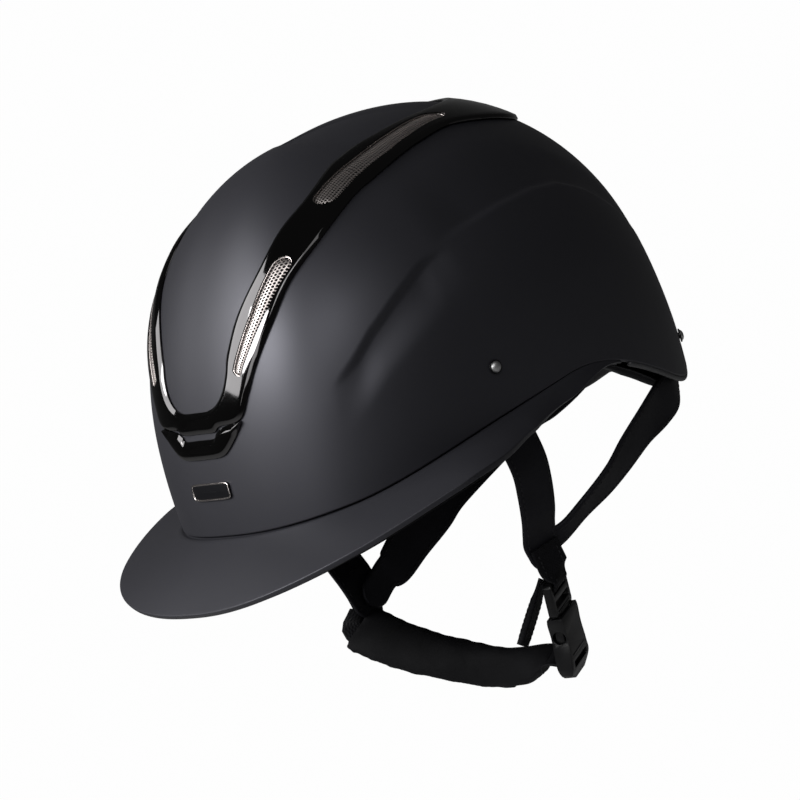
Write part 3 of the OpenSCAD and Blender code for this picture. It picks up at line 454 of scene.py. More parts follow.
def m_leather():
    return finish("Strap leather", tones("strap", 1, 0.7), (0.55, 0.12), leather_group(), {},
                  (0.35, 0.12), specular=0.22, tint=COOL)


def m_webbing():
    return finish("Nylon webbing", tones("strap", 0.9, 0.6), (0.62, 0.1), weave_group(),
                  {"Yarn": 0.9}, (0.6, 0.25), uv=True, specular=0.13)


def m_thread():
    return finish("Thread", tones("strap", 1.1, 0.9), (0.55, 0.1), grain_group(),
                  {"Fine": 2500.0}, (0.3, 0.05), specular=0.3)


def m_pad():
    return finish("Padding knit", tones("pad", 1, 0.7), (0.72, 0.12), leather_group(),
                  {"Scale": 1100.0}, (0.4, 0.12), specular=0.14)


def m_band():
    return finish("Band knit", tones("pad", 3.2, 2.4), (0.6, 0.1), leather_group(),
                  {"Scale": 1100.0}, (0.4, 0.12), specular=0.3)


def m_lining():
    return finish("Brim lining", tones("pad", 0.8, 0.6), (0.6, 0.1), leather_group(),
                  {"Scale": 900.0}, (0.2, 0.08), specular=0.2)


def m_foam():
    return finish("Liner foam", [(0.02, 0.02, 0.022), (0.014, 0.014, 0.016)], (0.7, 0.1),
                  leather_group(), {"Scale": 420.0}, (0.3, 0.2), specular=0.2)


def m_buckle():
    return finish("Moulded acetal", tones("buckle", 0.7, 0.5), (0.3, 0.06), grain_group(),
                  {"Fine": 1300.0}, (0.12, 0.05), specular=0.3)


def m_piping():
    return finish("Piping", [(0.05, 0.05, 0.053), (0.035, 0.035, 0.038)], (0.4, 0.1),
                  leather_group(), {"Scale": 900.0}, (0.2, 0.06))


def m_steel():
    return finish("Washer steel", [(0.5, 0.5, 0.52), (0.4, 0.4, 0.42)], (0.3, 0.1),
                  grain_group(), {}, (0.1, 0.02), metallic=1.0)


def m_rivet():
    return finish("Rivet dome", [(0.6, 0.59, 0.59), (0.5, 0.5, 0.5)], (0.38, 0.08),
                  grain_group(), {}, (0.05, 0.01), metallic=1.0)


def m_enamel():
    return finish("Black enamel", [(0.004, 0.004, 0.005), (0.003, 0.003, 0.004)], (0.3, 0.05),
                  grain_group(), {}, (0.04, 0.01), specular=0.25)


# Shell and brim
WINDOW_EDGE = 1.3  # how far the cut in the shell stays inside the trim's window
BRIM_END = 118
BRIM_WALL, BRIM_SIDE = 3.2, 4.0
SEAM_DROP = 0.5  # the brim's root lies this far under the shell's edge
GROOVE = 0.4     # depth of the groove at the brim's root, as a share of the wall
LIP_SHARE = 0.978


def vent_cutter(w, less, deep, high):
    """A closed bar along a window: four corners carried along its middle, the half width
    following a stadium, sqrt(r^2 - (r - d)^2) near either end."""
    long = window_long(w)
    lead = less / long
    g = (1 - np.cos(np.linspace(0, np.pi, 41))) / 2
    f = lead + (1 - 2 * lead) * g
    r = window_wide(w, f) / 2 - less
    d = np.minimum(f - lead, 1 - lead - f) * long
    half = np.where(d >= r, r, np.sqrt(np.maximum((0.12 * r) ** 2, r * r - (r - d) ** 2)))
    corners = ((-1, -deep), (1, -deep), (1, high), (-1, high))
    return np.stack([window_pt(w, f, y * half, h) for y, h in corners], 1)


def all_cutters(less, deep, high):
    """Cutters for the windows on both sides and the rear one."""
    bars = []
    for w in (LOW_MESH, HIGH_MESH):
        bar = vent_cutter(w, less, deep, high)
        bars += [bar, bar * (-1, 1, 1)]
    bars.append(vent_cutter(None, less, deep, high))
    return [surface("cutter", bar, m_foam(), ends=True, smooth=False) for bar in bars]


def build_shell():
    """Both faces of the shell, from the crown down, round the rim and up again inside."""
    wall = shape().wall / MM
    t = np.arange(0, 360, 1.0)[:, None]
    up = np.concatenate([[0, 0.0012], np.linspace(0.004, 0.9, 150), np.linspace(0.91, 1, 14)])
    outer = layer(t, up[None, :], inset_by(0))
    inner = layer(t, np.linspace(0, 1, 50)[None, :], inset_by(wall))
    edge = [layer(t, 0 * t, inset_by(wall * (1 - np.cos(a)) / 2))[:, 0] - [0, 0, 0.8 * np.sin(a)]
            for a in np.linspace(0, np.pi, 7)[1:-1]]
    grid = np.concatenate([outer[:, ::-1], np.stack(edge, 1), inner], 1)
    shell = surface("shell", grid, m_shell(), wrap_u=True, wrap_v=False)
    carve(shell, all_cutters(WINDOW_EDGE, wall + 2.5, 1.6))
    shade(shell, 40)
    seated(shell, "helmet", "shell", "outer_shell")


def brim_frame(t):
    """Reach, drop, wall and outward direction of the brim at the turn t."""
    a = folded(t)
    front, corner = shape().brim_front / MM, shape().brim_corner / MM
    reach = ((front + (corner - front) * ease(0, 50, a) - (corner - BRIM_SIDE) * ease(68, 101, a))
             * (1 - 0.85 * ease(100, BRIM_END, a)))
    drop = ((24 - 17.5 * ease(0, 74, a) + 3.5 * ease(70, 86, a))
            * (1 - 0.88 * ease(101, BRIM_END, a)))
    wall = BRIM_WALL * (1 - 0.6 * ease(100, BRIM_END, a))
    return reach, drop, wall, unit(out_of(t, rim(t)) * (1, 1, 0))


def brim_pt(t, f, deep):
    """Point of the brim at the share f of its reach, this deep under its upper face; the
    upper face falls by 3/4 f + 1/4 f^2 of the drop."""
    r, d, _, out = brim_frame(t)
    n = np.hypot(r, d)
    up = np.stack([0 * r, 0 * r, -d * (0.75 * f + 0.25 * f * f) - r / n * deep], -1)
    root = dome(t, rim(t) - SEAM_DROP, inset_by(0.3))
    return root + out * (r * f - d / n * deep)[..., None] + up


def build_brim():
    """The brim's section: up its root, out over the groove and the top, round a squarish lip,
    deep = half the wall (1 - sign(cos a) |cos a|^1/2), and back below; and its lining."""
    t = np.linspace(-BRIM_END, BRIM_END, 301)
    k = brim_frame(t)[2]
    root = dome(t, rim(t) - SEAM_DROP, inset_by(shape().wall / MM))
    rows = [root - np.stack([0 * k, 0 * k, h * k + 0.6 * h], -1) for h in (1, 0.5, 0)]
    share = np.concatenate([[0, 0.012, 0.024, 0.036], np.linspace(0.05, LIP_SHARE, 25)])
    rows += [brim_pt(t, f, GROOVE * k * (1 - ease(0.01, 0.05, f))) for f in share]
    for a in np.linspace(0.2, np.pi - 0.2, 13):
        square = np.sign(np.cos(a)) * abs(np.cos(a)) ** 0.5
        out = LIP_SHARE + (1 - LIP_SHARE) * np.sin(a) ** 0.5
        rows.append(brim_pt(t, out, k * 0.46 * (1 - square)))
    rows += [brim_pt(t, f, k) for f in np.linspace(0.965, 0.06, 22)]
    brim = surface("brim_shell", np.stack(rows, 1), m_brim(), ends=True)
    seated(brim, "helmet", "brim", "brim")
    t = np.linspace(-0.65 * BRIM_END, 0.65 * BRIM_END, 181)
    k = brim_frame(t)[2] + 0.6
    f = np.linspace(0.95, 0.1, 24)
    rows = [brim_pt(t, g, k + 0.8) for g in f] + [brim_pt(t, g, k) for g in f[::-1]]
    lining = surface("brim_underside", np.stack(rows, 1), m_lining(), ends=True)
    seated(lining, "helmet", "lining", "brim_lining")


def build_piping():
    """A round cord of 2.6 mm under the shell's edge, from ear to ear round the back."""
    t = np.linspace(BRIM_END + 3, 360 - BRIM_END - 3, 161)
    p = dome(t, rim(t) - 1.6, inset_by(shape().wall / MM / 2))
    rows = np.concatenate([p, np.tile([0, 0, 1, 2.6, 2.6], (len(t), 1))], 1)
    grid, uv = sweep(rows, circle(20))
    piping = surface("rim_piping", grid, m_piping(), ends=True, uv=uv)
    seated(piping, "helmet", "beading", "rim_beading")


# Vent trim: the turn and level of its inner edge, then of its outer edge, station by station
TRIM_ROWS = np.array([
    [0, 60, 0, 50], [3.6, 60.3, 4.6, 50.1], [6.8, 62.6, 7.0, 52.4], [9.8, 68, 15.2, 53.9],
    [11.8, 75, 19.7, 64.2], [13.4, 84, 25, 77], [19, 99, 33.5, 91.5], [29, 113, 44.7, 106.3],
    [43.4, 126.8, 62.5, 117.8], [62.6, 134.9, 80, 126], [81.9, 141.2, 93, 130],
    [95.9, 144, 104, 132.4], [108, 144.4, 115.3, 133.2], [125, 143.6, 130, 131.9],
    [144, 141, 145, 124], [162, 138.5, 160, 115], [180, 137.5, 180, 111]])
TRIM_END = len(TRIM_ROWS) - 1
LIP_ROWS = np.array([[0, 47.2, 0, 37.8], [4.1, 47.3, 3.6, 37.9], [5.2, 49.4, 6.2, 38.5],
                     [7.4, 51.6, 8.4, 40.5], [11.4, 52.7, 11.8, 45.6], [15, 53.4, 15.2, 51.6]])
# Windows: first and last station, share across at start, middle and end, width at either end
LOW_MESH = (4.38, 7.48, 0.52, 0.58, 0.57, 6.2, 10.6)
HIGH_MESH = (8.85, 13.5, 0.45, 0.53, 0.40, 11.6, 11.6)
REAR_TURN, REAR_LEVEL, REAR_WIDE = 17, 122.5, 13.0
TRIM_BASE = 0.45  # the trim's underside over the shell
MESH_TOP, MESH_LOW, MESH_RISE = 1.0, 0.4, 1.3
HOLE_R = 0.42     # radius of a hole as a share of its cell
BEAD_R, BEAD_UP = 0.42, 1.5


def trim_at(s):
    """Inner and outer edge of the trim at the station s, on a Catmull-Rom curve whose rows go
    on, mirrored, past both ends."""
    r = TRIM_ROWS
    first = r[1] * (-1, 1, -1, 1)
    last = np.array([360 - r[-2][0], r[-2][1], 360 - r[-2][2], r[-2][3]])
    p = np.concatenate([[first], r, [last]])
    s = np.asarray(s, float)
    i = np.minimum(np.floor(s).astype(int), TRIM_END - 1)
    return catmull(p[i], p[i + 1], p[i + 2], p[np.minimum(i + 3, len(p) - 1)], (s - i)[..., None])


def across(r, v, h):
    """Point between the two edges in r, at the share v across and h over the shell."""
    t, z = [r[..., k] + (r[..., k + 2] - r[..., k]) * v for k in (0, 1)]
    return proud(t, z, h)


def trim_pt(s, v, h):
    """Point of the trim's band at the station s, the share v across and h over the shell."""
    return across(trim_at(s), v, h)


def window_pt(w, f, y, h):
    """Point of a window at the share f along, y millimetres across and h over the shell. The
    rear window, None, runs along its own level."""
    f = np.asarray(f, float)
    h = np.asarray(h, float) + 0 * f
    if w is None:
        t = 180 - REAR_TURN * (2 * f - 1)
        z = REAR_LEVEL - 2 * (2 * f - 1) ** 2
        up = unit(dome(t, z + 1) - dome(t, z))
        return proud(t, z, h) + up * np.asarray(y, float)[..., None]
    s = w[0] + (w[1] - w[0]) * f
    v = np.where(f < 0.5, w[2] + (w[3] - w[2]) * 2 * f, w[3] + (w[4] - w[3]) * (2 * f - 1))
    wide = np.linalg.norm(trim_pt(s, 1 + 0 * s, 0 * s) - trim_pt(s, 0 * s, 0 * s), axis=-1)
    return trim_pt(s, v + y / wide, h)


def window_wide(w, f):
    """Width of a window at the share f along, from its start to its end."""
    return REAR_WIDE + 0 * f if w is None else w[5] + (w[6] - w[5]) * f


def window_long(w):
    """Length of a window along its middle."""
    f = np.linspace(0, 1, 25)
    return np.linalg.norm(np.diff(window_pt(w, f, 0 * f, 0 * f), axis=0), axis=1).sum()


def band_ring(rows, top):
    """Section of the glossy band for rows of edges: flat under, short upright sides, a broad
    chamfer on each shoulder with eased corners, and a gently crowned top."""
    r = np.asarray(rows, float)
    zero = 0 * r[:, 0]
    wide = np.linalg.norm(across(r, 1 + zero, zero) - across(r, zero, zero), axis=1)
    e = np.minimum(0.3, 2.2 / wide)
    ease_off = np.minimum(0.08, 0.25 / wide)
    side, shoulder = top * 0.4 - 0.15, top * 0.4 + 0.12
    ring = [(v, TRIM_BASE) for v in (1, 0.75, 0.5, 0.25, 0)] + [(0, side)]
    ring += [(ease_off * 0.5, shoulder), (e - ease_off, top - 0.18), (e + ease_off, top - 0.02)]
    ring += [(e + (1 - 2 * e) * k, top + 0.2 * (1 - (2 * k - 1) ** 2))
             for k in (0.15, 0.3, 0.5, 0.7, 0.85)]
    ring += [(1 - e - ease_off, top - 0.02), (1 - e + ease_off, top - 0.18),
             (1 - ease_off * 0.5, shoulder), (1, side)]
    return np.stack([across(r, v + zero, h + zero) for v, h in ring], 1)


def build_trim():
    """The band all the way round, carved by the windows, and the lip at the brow."""
    top = shape().trim / MM
    half = band_ring(trim_at(np.linspace(0, TRIM_END, 241)), top)
    ring = np.concatenate([half, (half * (-1, 1, 1))[-2:0:-1]])
    trim = surface("gloss_trim", ring, m_trim(), wrap_u=True)
    carve(trim, all_cutters(0.0, 2, 6))
    shade(trim, 28)
    seated(trim, "helmet", "trim", "vent_trim")
    half = band_ring(spline(LIP_ROWS, 12), top - 0.2)
    ring = np.concatenate([(half * (-1, 1, 1))[::-1], half[1:]])
    lip = surface("brow_lip", ring, m_trim(), ends=True)
    shade(lip, 28)
    seated(lip, "helmet", "trim", "front_scoop")


def grille(name, w, rows, pitch, mirrored, replaced):
    """A domed plate with holes in staggered rows. Each cell is a rectangle of eight border
    points round an eight-sided hole, and every other row is shifted by half a cell, so
    that border points meet."""
    long = window_long(w)
    lead = 0.8 / long
    n = int(round((long - 1.6) / pitch))
    a, b = np.meshgrid(np.arange(n), np.arange(rows), indexing="ij")
    u0 = (a + np.where(b % 2 == 1, 0.5, 0.0)).ravel()
    v0 = b.ravel().astype(float)
    border = np.array([[0, 0], [0.5, 0], [1, 0], [1, 0.5], [1, 1], [0.5, 1], [0, 1], [0, 0.5]])
    ang = np.radians([225, 270, 315, 0, 45, 90, 135, 180])
    hole = 0.5 + HOLE_R * np.stack([np.cos(ang), np.sin(ang)], 1)
    cell = np.concatenate([border, hole])
    u = np.clip((u0[:, None] + cell[None, :, 0]) / (n + 0.5), 0, 1)
    v = (v0[:, None] + cell[None, :, 1]) / rows * 2 - 1
    f = lead + (1 - 2 * lead) * u
    r = window_wide(w, f) / 2 - 0.5
    d = np.minimum(f, 1 - f) * long
    half = np.where(d >= r, r, np.sqrt(np.maximum((0.3 * r) ** 2, r * r - (r - d) ** 2)))
    rise = MESH_RISE * (half / r) ** 2 * (1 - v * v)
    points = np.concatenate([window_pt(w, f, v * half, h + rise).reshape(-1, 3)
                             for h in (MESH_TOP, MESH_LOW)])
    if mirrored:
        points = points * (-1, 1, 1)
    k, on = np.arange(8), (np.arange(8) + 1) % 8
    base, under = (np.arange(len(u0)) * 16)[:, None], 16 * len(u0)
    plate = np.stack([base + k, base + on, base + 8 + on, base + 8 + k], -1).reshape(-1, 4)
    wall = np.stack([base + 8 + k, base + 8 + on, base + under + 8 + on, base + under + 8 + k], -1)
    obj = mesh_object(name, points, [plate, plate + under, wall.reshape(-1, 4)], m_grille(),
                      smooth=False)
    seated(obj, "helmet", "mesh", replaced)


def window_rim(name, w, mirrored):
    """A thin bright bead round a window, a circle carried along its stadium outline."""
    long = window_long(w)
    lead = 0.1 / long
    g = (1 - np.cos(np.linspace(0, np.pi, 48))) / 2
    f = lead + (1 - 2 * lead) * g
    r = window_wide(w, f) / 2 - 0.05
    d = np.minimum(f - lead, 1 - lead - f) * long
    half = np.sqrt(np.maximum(0, r * r - np.maximum(0, r - d) ** 2))
    up = window_pt(w, f, half, BEAD_UP)
    down = window_pt(w, f[::-1], -half[::-1], BEAD_UP)
    path = np.concatenate([up[:-1], down[:-1]])
    along = unit(np.roll(path, -1, 0) - np.roll(path, 1, 0))
    side = unit(np.cross(along, unit(path - np.array([0, 10, 20]))))
    nrm = np.cross(side, along)
    c = circle(24)
    spoke = c[None, :, :1] * side[:, None] + c[None, :, 1:] * nrm[:, None]
    ring = path[:, None] + BEAD_R * spoke
    if mirrored:
        ring = ring * (-1, 1, 1)
    seated(surface(name, ring, m_rim(), wrap_u=True), "helmet", "mesh")


def build_grilles():
    """Five perforated grilles and the bright bead round each."""
    for side, mirrored in (("left", False), ("right", True)):
        grille("grille_low_" + side, LOW_MESH, 5, 1.55, mirrored, "mesh_low_" + side)
        grille("grille_high_" + side, HIGH_MESH, 7, 1.55, mirrored, "mesh_high_" + side)
        window_rim("rim_low_" + side, LOW_MESH, mirrored)
        window_rim("rim_high_" + side, HIGH_MESH, mirrored)
    grille("grille_rear", None, 8, 1.6, False, "mesh_rear")
    window_rim("rim_rear", None, False)


# Badge and rivets
BADGE_HALF, BADGE_LEVEL, BADGE_ROUND = (17.0, 4.4), 22.3, 0.28
SIDE_RIVET, REAR_RIVET = (90.0, 28.0), (157.0, -20.0)
RIVET_COLLAR = [(1.6, -9.2), (1.6, 0.2), (3.4, 0.3), (3.5, 0.45), (3.5, 0.8), (3.35, 1.05),
                (3.05, 1.15), (2.75, 1.05), (2.6, 0.8), (1.2, 0.7)]
RIVET_DOME = [(1.0, 0.5), (2.85, 0.85), (2.8, 1.2), (2.5, 1.65), (2.0, 2.05), (1.4, 2.32),
              (0.7, 2.47), (0.05, 2.5)]


def badge_ring(less, up):
    """Outline of the badge, a superellipse of |cos|^0.28 and |sin|^0.28, this much smaller all
    round and this high over the shell."""
    x, z = [(half - less) * np.sign(v) * np.abs(v) ** BADGE_ROUND
            for half, v in zip(BADGE_HALF, circle(96).T)]
    return proud(turn_at(x, BADGE_LEVEL + z), BADGE_LEVEL + z, up + 0 * x)


def build_badge():
    """A bare rounded plate bent to the brow, and a bright border bead round it."""
    steps = ((4.3, 1.25), (2, 1.2), (1.0, 1.15), (0.5, 1.1), (0.2, 0.9), (0.1, 0.3))
    plate = np.stack([badge_ring(less, up) for less, up in steps], 0)
    badge = surface("badge", plate, m_enamel(), ends=True)
    shade(badge, 30)
    seated(badge, "helmet", "badge", "badge_plate")
    bead = [badge_ring(0.55 - 0.45 * math.cos(k), 1.1 + 0.4 * math.sin(k))
            for k in np.linspace(0, 2 * np.pi, 13)[:-1]]
    border = surface("badge_border", np.stack(bead, 1), m_rim(), wrap_u=True)
    seated(border, "helmet", "badge")


def revolve(name, place, mirrored, profile, material, *nodes):
    """A profile of radius and height turned about the shell's normal at a rivet."""
    t, z = np.array(place[0]), np.array(place[1])
    p, n = dome(t, z), out_of(t, z)
    side = unit(np.cross(n, [0, 0, 1.0]))
    c, pr = circle(48), np.asarray(profile, float)
    spoke = c[None, :, :1] * side + c[None, :, 1:] * np.cross(side, n)
    ring = p + pr[:, None, :1] * spoke + pr[:, None, 1:] * n
    if mirrored:
        ring = ring * (-1, 1, 1)
    obj = surface(name, ring, material, ends=True)
    shade(obj, 30)
    seated(obj, "helmet", "rivet", *nodes)


def build_rivets():
    """Rivets of a dark rolled collar round a pale dome, with their shanks and washers."""
    for where, place in (("side", SIDE_RIVET), ("rear", REAR_RIVET)):
        for side, mirrored in (("left", False), ("right", True)):
            nodes = ("rivets",) if where == "side" and not mirrored else ()
            end = "_%s_%s" % (where, side)
            revolve("rivet_collar" + end, place, mirrored, RIVET_COLLAR, m_enamel(), *nodes)
            revolve("rivet_dome" + end, place, mirrored, RIVET_DOME, m_rivet())
    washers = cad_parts["rivet_washers"]
    washers.data.materials.clear()
    washers.data.materials.append(m_steel())


# Straps. A row is a middle point, the way across, the width and the thickness.
PIVOT_LEFT, PIVOT_RIGHT = np.array([73.5, 1, -70.0]), np.array([-73, -15, -75.0])
SWING = unit(PIVOT_LEFT - PIVOT_RIGHT)
LAP_DOWN = unit(np.cross([0, 1.0, 0], SWING))
LAP_ACROSS = np.cross(SWING, LAP_DOWN)
LAP_R, STRAP_W, STRAP_T, WEB_W, WEB_T = 9.0, 22.5, 2.2, 19.0, 1.6
LOW_LAP = PIVOT_RIGHT + LAP_DOWN * 7  # the far straps meet this far under their pivot
GAP = 0.3                             # free space between two straps of a lap
CLEAR = 4.2                           # from the dome to a strap's end inside the shell
FULL = (STRAP_W, STRAP_T)
SIDE_TAB = [(90, 37), (90, 28), (90, 14), (90, 4), (90, -6)]
REAR_TAB_LEFT = [(165, -6), (157, -20), (150, -33, 1.9)]
REAR_TAB_RIGHT = [(165, -6), (157, -20), (149.5, -28.5, 1.2), (141.5, -34.5, 1.4), (134, -38, 1.8)]
FRONT_LEFT = [[90.5, 2.4, -24, 0, 1, 0.08, *FULL], [86, 3, -37, 0, 1, 0.06, *FULL],
              [81, 2.4, -50, -0.05, 1, 0.02, *FULL], [77, 1.6, -58, -0.1, 0.99, 0, *FULL],
              [74.4, 1.1, -64, -0.11, 0.99, 0, *FULL]]
FRONT_RIGHT = [[-89.5, -8, -28, 0, -1, 0.12, *FULL], [-86.5, -12.5, -45, 0, -1, 0.05, *FULL],
               [-80, -15, -59, 0.1, -0.99, 0, *FULL], [-74.5, -15.3, -70, 0.11, -0.99, 0, *FULL]]
REAR_LEFT = [[52.5, 122, -37.9, -0.21, 0.08, -0.97, 22.5, 2.2],
             [59.4, 108, -40.6, -0.22, 0.1, -0.97, 22.5, 2.2],
             [65.7, 90, -44, -0.43, 0.14, -0.89, 22.5, 2.2],
             [68.8, 70, -51, -0.52, 0.2, -0.83, 22, 2.3],
             [71.8, 53, -56.7, -0.62, 0.13, -0.77, 20, 2.6],
             [72.5, 33, -62.3, -0.65, 0.13, -0.75, 15, 3],
             [71.7, 18.6, -67.0, -0.5, 0.18, -0.85, 12, 3]]
REAR_RIGHT = [[-66, 55, -52.3, 0.22, 0.42, -0.88, 22.5, 2.2],
              [-68.1, 37.8, -60.1, 0.21, 0.41, -0.88, 23.5, 2.2],
              [-70.3, 21.6, -67, 0.12, 0.42, -0.9, 23.5, 2.2],
              [-70.8, 7, -74.3, 0.06, 0.45, -0.89, 21.5, 2.2]]
BUCKLE_AT, BUCKLE_TURN = np.array([73.4, 0.2, -83.6]), (33, -4, 10.4)
WEB_OVER = 4.2 / 2 + GAP + WEB_T / 2    # from the ladder's middle to the webbing's
SOCKET_SLOT = -18 - 33 + 9.4 - 1.8      # level of the socket's slot in the buckle's frame
CHIN_ROWS = [[-75, -24, -93, 0, -0.9, -0.44, 30, 7.2], [-66, -22.5, -99, 0, -0.86, -0.5, 31, 9.6],
             [-50, -20, -107, 0, -0.76, -0.64, 29, 12],
             [-30, -17.5, -114, 0, -0.66, -0.75, 27, 12],
             [-8, -10, -123.5, 0, -0.4, -0.92, 26, 12],
             [8, -7.5, -127, 0.05, -0.22, -0.97, 25, 11.4],
             [28, -6.5, -127.5, 0.2, -0.5, -0.84, 22, 9.6],
             [44, -6.5, -125.5, 0.45, -0.7, -0.5, 20, 7.2],
             [53, -7, -124.5, 0.54, -0.8, -0.25, 19, 4.8]]


def turned(v):
    """A direction of the buckle's own frame: yaw about Z, then the two tilts."""
    v = np.asarray(v, float)
    y, p, r = np.radians(BUCKLE_TURN)
    v = np.array([v[0] * np.cos(y) - v[1] * np.sin(y), v[0] * np.sin(y) + v[1] * np.cos(y), v[2]])
    v = np.array([v[0], v[1] * np.cos(p) - v[2] * np.sin(p), v[1] * np.sin(p) + v[2] * np.cos(p)])
    x, z = v[0] * np.cos(r) + v[2] * np.sin(r), -v[0] * np.sin(r) + v[2] * np.cos(r)
    return np.array([x, v[1], z])


def in_buckle(v):
    """A point of the buckle's own frame."""
    return BUCKLE_AT + turned(v)


def row(p, w, wide, thick):
    """A strap's row: its middle, the way across it, its width and its thickness."""
    return [*p, *w, wide, thick]


def round_end(c, d, w, r, t):
    """Rows of a round end past the middle of a lap: widths 2 r cos a at r sin a."""
    return [row(c + d * (r * math.sin(a)), w, 2 * r * math.cos(a), t)
            for a in np.radians([0, 15, 30, 45, 60, 72, 82, 88])]


def path_frame(rows):
    """Middles, directions, ways across and normals along rows: the direction is the chord of
    the neighbours, the way across is squared to it, and the normal is their cross product."""
    r = np.asarray(rows, float)
    p = r[:, :3]
    along = unit(np.concatenate([p[1:2] - p[:1], p[2:] - p[:-2], p[-1:] - p[-2:-1]]))
    w = unit(r[:, 3:6] - along * (r[:, 3:6] * along).sum(1, keepdims=True))
    return p, along, w, np.cross(along, w)


def run(p):
    """Length from the start of a path to each of its points."""
    return np.concatenate([[0], np.cumsum(np.linalg.norm(np.diff(p, axis=0), axis=1))])


def tape_section(a, h):
    """Flat tape of half width a and half thickness h, its edges rounded by 0.9 h, row by row."""
    c = np.minimum(h * 0.9, a * 0.9)
    mid = np.linspace(1, -1, 11)[1:-1]
    xs, ys = [], []
    for k, (sx, sy) in enumerate(((1, 1), (-1, 1), (-1, -1), (1, -1))):
        turn = np.radians([0, 22, 45, 68, 90]) + k * np.pi / 2
        xs += [sx * (a - c) + c * np.cos(v) for v in turn]
        ys += [sy * (h - c) + c * np.sin(v) for v in turn]
        if sx == sy:
            xs += [sx * m * (a - c) for m in mid]
            ys += [sx * h for m in mid]
    return np.stack(xs, 1), np.stack(ys, 1)


def sweep(rows, section=None):
    """Carries a section, flat tape if none is given, along rows by their frame. Returns the
    grid and a UV map in millimetres along and across."""
    p, _, w, n = path_frame(rows)
    a, h = np.asarray(rows, float)[:, 6:8].T / 2
    if section is None:
        x, y = tape_section(a, h)
    else:
        x, y = a[:, None] * section[None, :, 0], h[:, None] * section[None, :, 1]
    grid = p[:, None] + x[..., None] * w[:, None] + y[..., None] * n[:, None]
    return grid, np.stack([np.broadcast_to(run(p)[:, None], x.shape), x], -1)


def tab_rows(way, mirrored):
    """Rows of a strap's end that follows the inside of the shell through places of a turn, a
    level and, where it leaves the dome, a depth."""
    way = [tuple(q) + (0,) * (3 - len(q)) for q in way]
    made = []
    for i, (t, z, depth) in enumerate(way):
        a, b = way[max(i - 1, 0)], way[min(i + 1, len(way) - 1)]
        p = dome(t, z, inset_by(CLEAR + STRAP_T / 2 + depth))
        d = unit(dome(b[0], b[1]) - dome(a[0], a[1]))
        w = np.cross(out_of(np.array(t, float), np.array(z, float)), d)
        if mirrored:
            p, w = p * (-1, 1, 1), w * (-1, 1, 1)
        made.append(row(p, w, STRAP_W, STRAP_T))
    return made


def front_path(side, way, lap):
    """Rows of a front strap: its tab in the shell, its way down and its round end."""
    return (tab_rows(SIDE_TAB, side < 0) + way
            + round_end(lap, LAP_DOWN, side * LAP_ACROSS, LAP_R + 1, STRAP_T))


def rear_path(side, tab, way, lap, towards, r, thick):
    """Rows of a rear strap, which ends behind the front one in the plane of the swing."""
    e = unit(np.array(towards) - SWING * np.dot(towards, SWING))
    w = np.cross(SWING, e)
    lap = lap - SWING * side * (STRAP_T + 0.4)
    return (tab_rows(tab, side < 0) + way + [row(lap - e * (r + 2), w, 2 * r, thick)]
            + round_end(lap, e, w, r, thick))


def strap_paths():
    """The rows of the four side straps. The near rear one folds in half towards its lap."""
    return {
        "front_strap_left": front_path(1, FRONT_LEFT, PIVOT_LEFT),
        "front_strap_right": front_path(-1, FRONT_RIGHT, LOW_LAP),
        "rear_strap_left": rear_path(1, REAR_TAB_LEFT, REAR_LEFT, PIVOT_LEFT, [0, -0.96, -0.2],
                                     5.5, 2.4),
        "rear_strap_right": rear_path(-1, REAR_TAB_RIGHT, REAR_RIGHT,
                                      LOW_LAP + np.array([0, 5.0, 1.5]), [0, -0.9, -0.4], 8.5,
                                      STRAP_T),
    }


def stitches(name, rows, margin, sides, body, pitch=3.4, length=2.3, first=0.0, last=0.0):
    """Two lines of stitches on a strap, this far in from its edges: short capsules at even
    steps along the middle, on one or both faces."""
    p, along, w, n = path_frame(rows)
    step = run(p)
    at = np.arange(first + pitch, step[-1] - last - pitch, pitch)
    c, d, x, y, size = [np.stack([np.interp(at, step, column) for column in v.T], 1)
                        for v in (p, along, w, n, np.asarray(rows, float)[:, 6:8])]
    d, x, y = unit(d), unit(x), unit(y)
    thread = 0.32
    caps = np.array([(-1, 0.05), (-0.9, 0.7), (-0.55, 1), (0.55, 1), (0.9, 0.7), (1, 0.05)])
    ring = circle(8)
    round_thread = (ring[None, None, :, :1] * x[:, None, None]
                    + ring[None, None, :, 1:] * y[:, None, None])
    made = []
    for side in sides:
        for edge in (1, -1):
            mid = c + x * (edge * (size[:, :1] / 2 - margin)) + y * (side * size[:, 1:] / 2)
            made.append(mid[:, None, None]
                        + d[:, None, None] * (caps[None, :, None, :1] * length / 2)
                        + thread * caps[None, :, None, 1:] * round_thread)
    points = np.concatenate(made)
    m, each = len(points), len(caps) * len(ring)
    faces = quads(len(caps), len(ring), False, True)[None] + (np.arange(m) * each)[:, None, None]
    obj = mesh_object(name, points.reshape(-1, 3), [faces.reshape(-1, 4)], m_thread(), weld=False)
    seated(obj, body, "strap")


def build_straps():
    """Four leather side straps with eased edges and a row of stitches along each border."""
    for name, rows in strap_paths().items():
        fine = spline(rows, 8)
        grid, uv = sweep(fine)
        piece = surface(name.replace("strap", "leather"), grid, m_leather(), ends=True, uv=uv)
        seated(piece, "helmet", "strap", name)
        stitches(name + "_stitches", fine, 2.2, (1, -1), "helmet",
                 first=34 if "front" in name else 20, last=12)


def over_lap(side):
    """From a lap's middle to the middle of the webbing on its outer face."""
    return SWING * side * (STRAP_T / 2 + GAP + WEB_T / 2)


def webbing(name, body, node_name, rows, steps):
    """A woven tape through the rows; returns its finer rows."""
    fine = spline(rows, steps)
    grid, uv = sweep(fine)
    tape = surface(name, grid, m_webbing(), ends=True, uv=uv)
    seated(tape, body, "webbing", node_name)
    return fine


